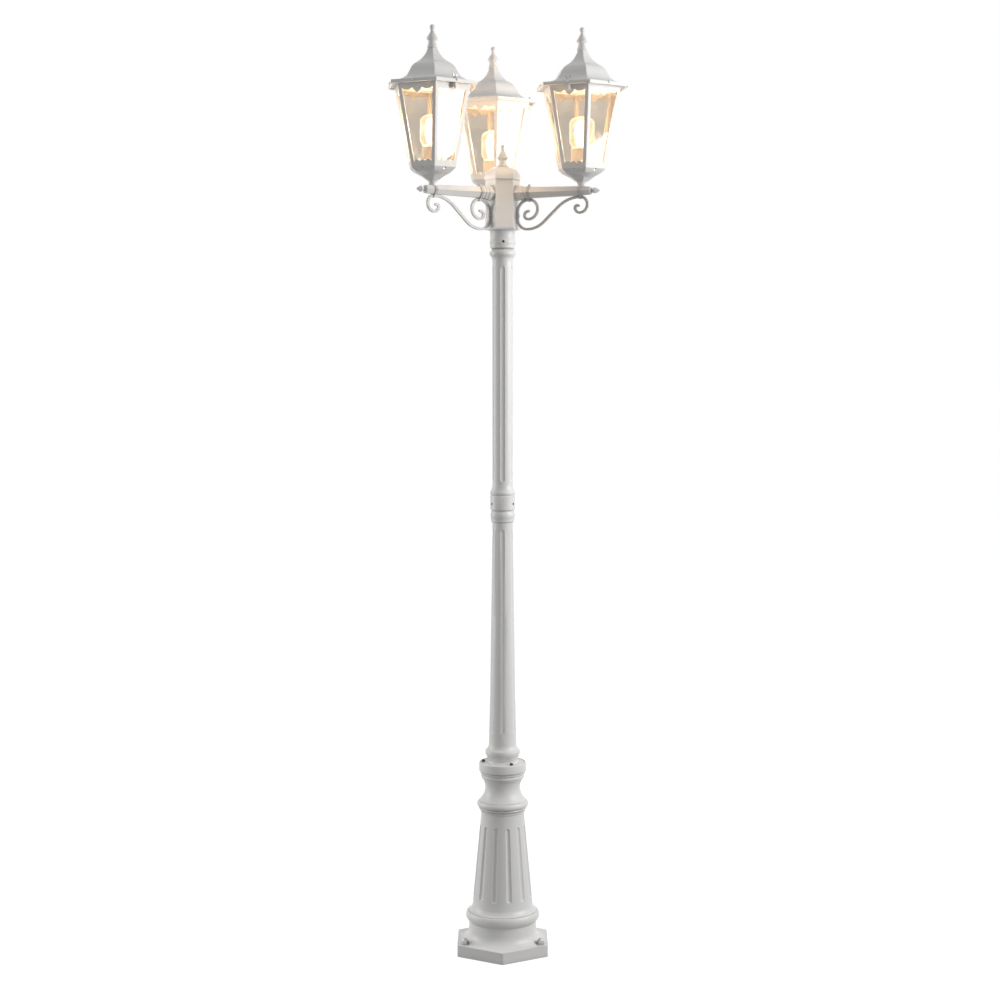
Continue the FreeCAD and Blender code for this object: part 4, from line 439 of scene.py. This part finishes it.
def flute_hollow(share):
    """How deep a flute is across its width, 1 in the middle and 0 at its edges."""
    radius = (FLUTE_ARC * FLUTE_ARC + 1.0) / 2.0
    return max(0.0, math.sqrt(radius * radius - (share * FLUTE_ARC) ** 2) - (radius - 1.0))


def shaft_rings():
    """(radius, height, flute width share, flute depth share), up over the rim and down inside."""
    def plain(points):
        return [(radius, height, 1.0, 0.0) for radius, height in points]

    def on_shaft(height, width, depth):
        share = (height - SHAFT_FOOT[1]) / (SHAFT_HEAD[1] - SHAFT_FOOT[1])
        return (SHAFT_FOOT[0] + (SHAFT_HEAD[0] - SHAFT_FOOT[0]) * share, height, width, depth)

    ends = []
    for share in FLUTE_END_SHARES:
        width = math.sqrt(1.0 - share * share)
        ends.append((FLUTE_END * (1.0 - share), max(width, FLUTE_LEAST_WIDTH), width))
    straight = FLUTE_HIGH - FLUTE_LOW - 2 * FLUTE_END

    rings = plain(UNDER_SHAFT + [SHAFT_FOOT])
    rings.append(on_shaft(FLUTE_LOW - FLUTE_MARGIN, 1.0, 0.0))
    rings += [on_shaft(FLUTE_LOW + rise, width, depth) for rise, width, depth in ends]
    for row in range(1, FLUTE_ROWS):
        rings.append(on_shaft(FLUTE_LOW + FLUTE_END + straight * row / FLUTE_ROWS, 1.0, 1.0))
    rings += [on_shaft(FLUTE_HIGH - drop, width, depth) for drop, width, depth in reversed(ends)]
    rings.append(on_shaft(FLUTE_HIGH + FLUTE_MARGIN, 1.0, 0.0))
    return rings + plain([SHAFT_HEAD] + OVER_SHAFT + SHAFT_INSIDE)


def pedestal_shaft(name):
    """The turned and fluted casting from the bell's top to the collar, closed inside."""
    shape = bmesh.new()
    rings = []
    pitch = 360.0 / FLUTES
    for radius, height, width, depth in shaft_rings():
        half = FLUTE_HALF_ANGLE * width
        step = (pitch - 2 * half) / (PLAIN_COLUMNS + 1)
        columns = [(half * share, flute_hollow(share)) for share in FLUTE_SHARES]
        columns += [(half + step * (column + 1), 0.0) for column in range(PLAIN_COLUMNS)]
        ring = []
        for flute in range(FLUTES):
            for offset, hollow in columns:
                angle = math.radians(FLUTE_TURN + FRONT + pitch * flute + offset)
                reach = radius - FLUTE_DEPTH * depth * hollow
                ring.append(shape.verts.new((reach * math.cos(angle), reach * math.sin(angle), height)))
        rings.append(ring)
    for low, high in zip(rings, rings[1:] + rings[:1]):
        for here in range(len(low)):
            ahead = (here + 1) % len(low)
            shape.faces.new((low[here], low[ahead], high[ahead], high[here]))
    mesh = bpy.data.meshes.new(name)
    write_out(shape, mesh, SHAFT_SHARP_OVER)
    return mesh


def dress_pedestal():
    """The solids' foot and bell, and the turned shaft on them."""
    foot = clean_copy("pedestal", "pedestal_foot_piece", SHAFT_CUT)
    dress("pedestal", foot, ROUNDING["pedestal"])
    dress("pedestal", pedestal_shaft("pedestal_shaft_piece"))


# ---------------------------------------------------------------- cap nuts

NUT_CIRCLE = 0.105
NUT_AZIMUTHS = (60.0, 180.0, 300.0)
NUT_SEAT = 0.030
NUT_WIDTH_SHARE = 0.9
NUT_HEIGHT_SHARE = 0.72


def low_cap_nuts(name):
    """The cap nuts drawn in to the low domes of the photograph, each about its own axis."""
    mesh = clean_copy("anchor_cap_nuts", name)
    turns = [math.radians(azimuth + FRONT) for azimuth in NUT_AZIMUTHS]
    axes = [Vector((NUT_CIRCLE * math.cos(turn), NUT_CIRCLE * math.sin(turn))) for turn in turns]
    for vert in mesh.vertices:
        axis = min(axes, key=lambda place: (vert.co.xy - place).length)
        across = axis + (vert.co.xy - axis) * NUT_WIDTH_SHARE
        vert.co = (across.x, across.y, NUT_SEAT + (vert.co.z - NUT_SEAT) * NUT_HEIGHT_SHARE)
    return mesh


# ---------------------------------------------------------------- hub cap and bulbs

# Shares of the solids' width and height: the cap stands over the box, and the bulbs are shorter
HUB_CAP_WIDTH_SHARE = 1.05
BULB_WIDTH_SHARE = 0.96
BULB_HEIGHT_SHARE = 0.9

# The glowing core in a bulb, as (radius, height)
CORE_OUTLINE = [
    (0, 1.9270), (0.0080, 1.9275), (0.0120, 1.9325), (0.0155, 1.9430), (0.0175, 1.9560),
    (0.0175, 1.9690), (0.0155, 1.9800), (0.0110, 1.9865), (0.0060, 1.9888), (0, 1.9895),
]
CORE_SEGMENTS = 40
CORE_SHARP_OVER = 40.0


def dress_lantern(lantern):
    """A lantern's panes and lit bulb. The core casts no shadow, because the bulb's lamp is inside it."""
    dress(f"{lantern}_panes", clean_copy(f"{lantern}_panes", f"{lantern}_panes_piece"))
    shell = f"{lantern}_bulb_glass"
    dress(shell, scaled(shell, f"{shell}_piece", BULB_WIDTH_SHARE, BULB_HEIGHT_SHARE))
    mesh = lathe(f"{lantern}_bulb_core", CORE_OUTLINE, CORE_SEGMENTS, CORE_SHARP_OVER)
    mesh.transform(on_lantern(lantern))
    core = link(mesh, CORE, f"{lantern}_bulb")
    core.visible_shadow = False


# ---------------------------------------------------------------- every piece

SCROLLS = [f"{lantern}_scroll" for lantern in LANTERNS]
ROUNDING = {
    "pedestal": 0.0012, "hub": 0.0008, "hub_cap": 0.001, "arm_clips": 0.0004,
    **{scroll: 0.0019 for scroll in SCROLLS},
}
# The scrolls and arm clips take the darker copy of the white paint, which paints their shade into their
# colour
OTHER_PAINT = {node: SHADED_ROD_PAINT for node in SCROLLS + ["arm_clips"]}
DRESSED_APART = ("pedestal", "anchor_cap_nuts", "hub_cap")

for node in sorted(NODES):
    if node not in DRESSED_APART and not node.endswith(("_panes", "_bulb_glass")):
        dress(node, clean_copy(node, f"{node}_piece"), ROUNDING.get(node, 0.0), OTHER_PAINT.get(node))
dress_pedestal()
dress("anchor_cap_nuts", low_cap_nuts("anchor_cap_nuts_piece"))
dress("hub_cap", scaled("hub_cap", "hub_cap_piece", HUB_CAP_WIDTH_SHARE), ROUNDING["hub_cap"])
for lantern in LANTERNS:
    dress_lantern(lantern)


# ---------------------------------------------------------------- floor and world

FLOOR_HALF_SIDE = 30.0
FLOOR_DROP = 0.0005
FLOOR_PAINT = (0.28, 0.28, 0.28)
FLOOR_GLOW = 0.92
WORLD_GLOW = 1.0
WORLD_LIGHT = 0.37
PURE_WHITE = (1.0, 1.0, 1.0)


def floor_material():
    """Grey paint that also glows white to what looks at it, so that the post's shadow shows faintly."""
    look = material_tree("floor")
    plain = look.node("ShaderNodeBsdfDiffuse", {"Color": rgba(FLOOR_PAINT)})
    glowing = look.node("ShaderNodeEmission", {"Color": rgba(PURE_WHITE), "Strength": FLOOR_GLOW})
    unlit = look.node("ShaderNodeEmission", {"Color": rgba(PURE_WHITE), "Strength": 0.0})
    glow = look.mix_shaders(look.looked_at(), unlit, glowing)
    return look.done(look.node("ShaderNodeAddShader", {0: plain.outputs[0], 1: glow.outputs[0]}))


def make_floor():
    """A wide floor, a hair under the foot."""
    shape = bmesh.new()
    bmesh.ops.create_grid(shape, x_segments=1, y_segments=1, size=FLOOR_HALF_SIDE)
    mesh = bpy.data.meshes.new("floor")
    shape.to_mesh(mesh)
    shape.free()
    floor = bpy.data.objects.new("floor", mesh)
    floor.location.z = -FLOOR_DROP
    bpy.context.scene.collection.objects.link(floor)
    mesh.materials.append(floor_material())


def make_world():
    """White to what looks at it, and dimmer as a light."""
    world = bpy.data.worlds.new("studio")
    bpy.context.scene.world = world
    look = Shader(world, "ShaderNodeOutputWorld")
    strength = look.spread(look.looked_at(), over=(0.0, 1.0), to=(WORLD_LIGHT, WORLD_GLOW))
    look.done(look.node("ShaderNodeBackground", {"Color": rgba(PURE_WHITE), "Strength": strength}))


# ---------------------------------------------------------------- lights

HEAD_MIDDLE = (0, 0, 1.75)
POST_MIDDLE = (0, 0, 1.2)
GLOW_HEIGHT = 1.965


def lamp(name, kind, energy, place, color=PURE_WHITE, aim=None, **settings):
    """A light in the scene, turned to a point if one is given."""
    data = bpy.data.lights.new(name, kind)
    data.energy = energy
    data.color = color
    for key, value in settings.items():
        setattr(data, key, value)
    light = bpy.data.objects.new(name, data)
    light.location = place
    if aim is not None:
        light.rotation_euler = (Vector(aim) - Vector(place)).to_track_quat("-Z", "Y").to_euler()
    bpy.context.scene.collection.objects.link(light)
    return light


def window_light(name, energy, place, aim, roll, bars, length, depth, pitch, shift):
    """A soft light of a few parallel bars, turned about its own axis."""
    facing = (Vector(aim) - Vector(place)).to_track_quat("-Z", "Y").to_matrix().to_4x4()
    facing = Matrix.Translation(place) @ facing @ Matrix.Rotation(math.radians(roll), 4, "Z")
    for number in range(bars):
        bar = lamp(
            f"{name}_{number + 1}", "AREA", energy / bars, place,
            shape="RECTANGLE", size=length, size_y=depth,
        )
        bar.matrix_world = facing @ Matrix.Translation((0, (number - (bars - 1) / 2) * pitch + shift, 0))


def make_lights():
    """A barred key light from the right, a broad side light, a little from above, and the lit bulbs."""
    window_light(
        "key", energy=52.0, place=(2.3, -0.75, 2.0), aim=HEAD_MIDDLE, roll=50.0,
        bars=5, length=1.3, depth=0.2, pitch=0.34, shift=-0.12,
    )
    lamp("side", "AREA", 56.0, (-3.55, 0.63, 1.6), aim=POST_MIDDLE, shape="RECTANGLE", size=1.6, size_y=2.8)
    lamp("top", "AREA", 6.0, (0.6, 0.3, 5.0), aim=POST_MIDDLE, shape="RECTANGLE", size=2.0, size_y=2.0)
    for lantern in LANTERNS:
        spot = on_lantern(lantern) @ Vector((0, 0, GLOW_HEIGHT))
        lamp(f"{lantern}_glow", "POINT", 1.4, spot, color=(1.0, 0.84, 0.7), shadow_soft_size=0.016)


# ---------------------------------------------------------------- camera

# Fitted to the photograph
CAMERA_DISTANCE = 4.49024
CAMERA_HEIGHT = 1.45507
CAMERA_DOWN = 4.53
CAMERA_LENS = 67.64
CAMERA_SENSOR = 36.0
CAMERA_SHIFT = -0.00264


def make_camera():
    """The photograph's view."""
    data = bpy.data.cameras.new("camera")
    data.lens = CAMERA_LENS
    data.sensor_width = CAMERA_SENSOR
    data.shift_x = CAMERA_SHIFT
    camera = bpy.data.objects.new("camera", data)
    camera.location = (0.0, -CAMERA_DISTANCE, CAMERA_HEIGHT)
    camera.rotation_euler = (math.radians(90.0 - CAMERA_DOWN), 0.0, 0.0)
    bpy.context.scene.collection.objects.link(camera)
    bpy.context.scene.camera = camera


make_world()
make_floor()
make_lights()
make_camera()
bpy.context.scene.view_settings.view_transform = "Standard"
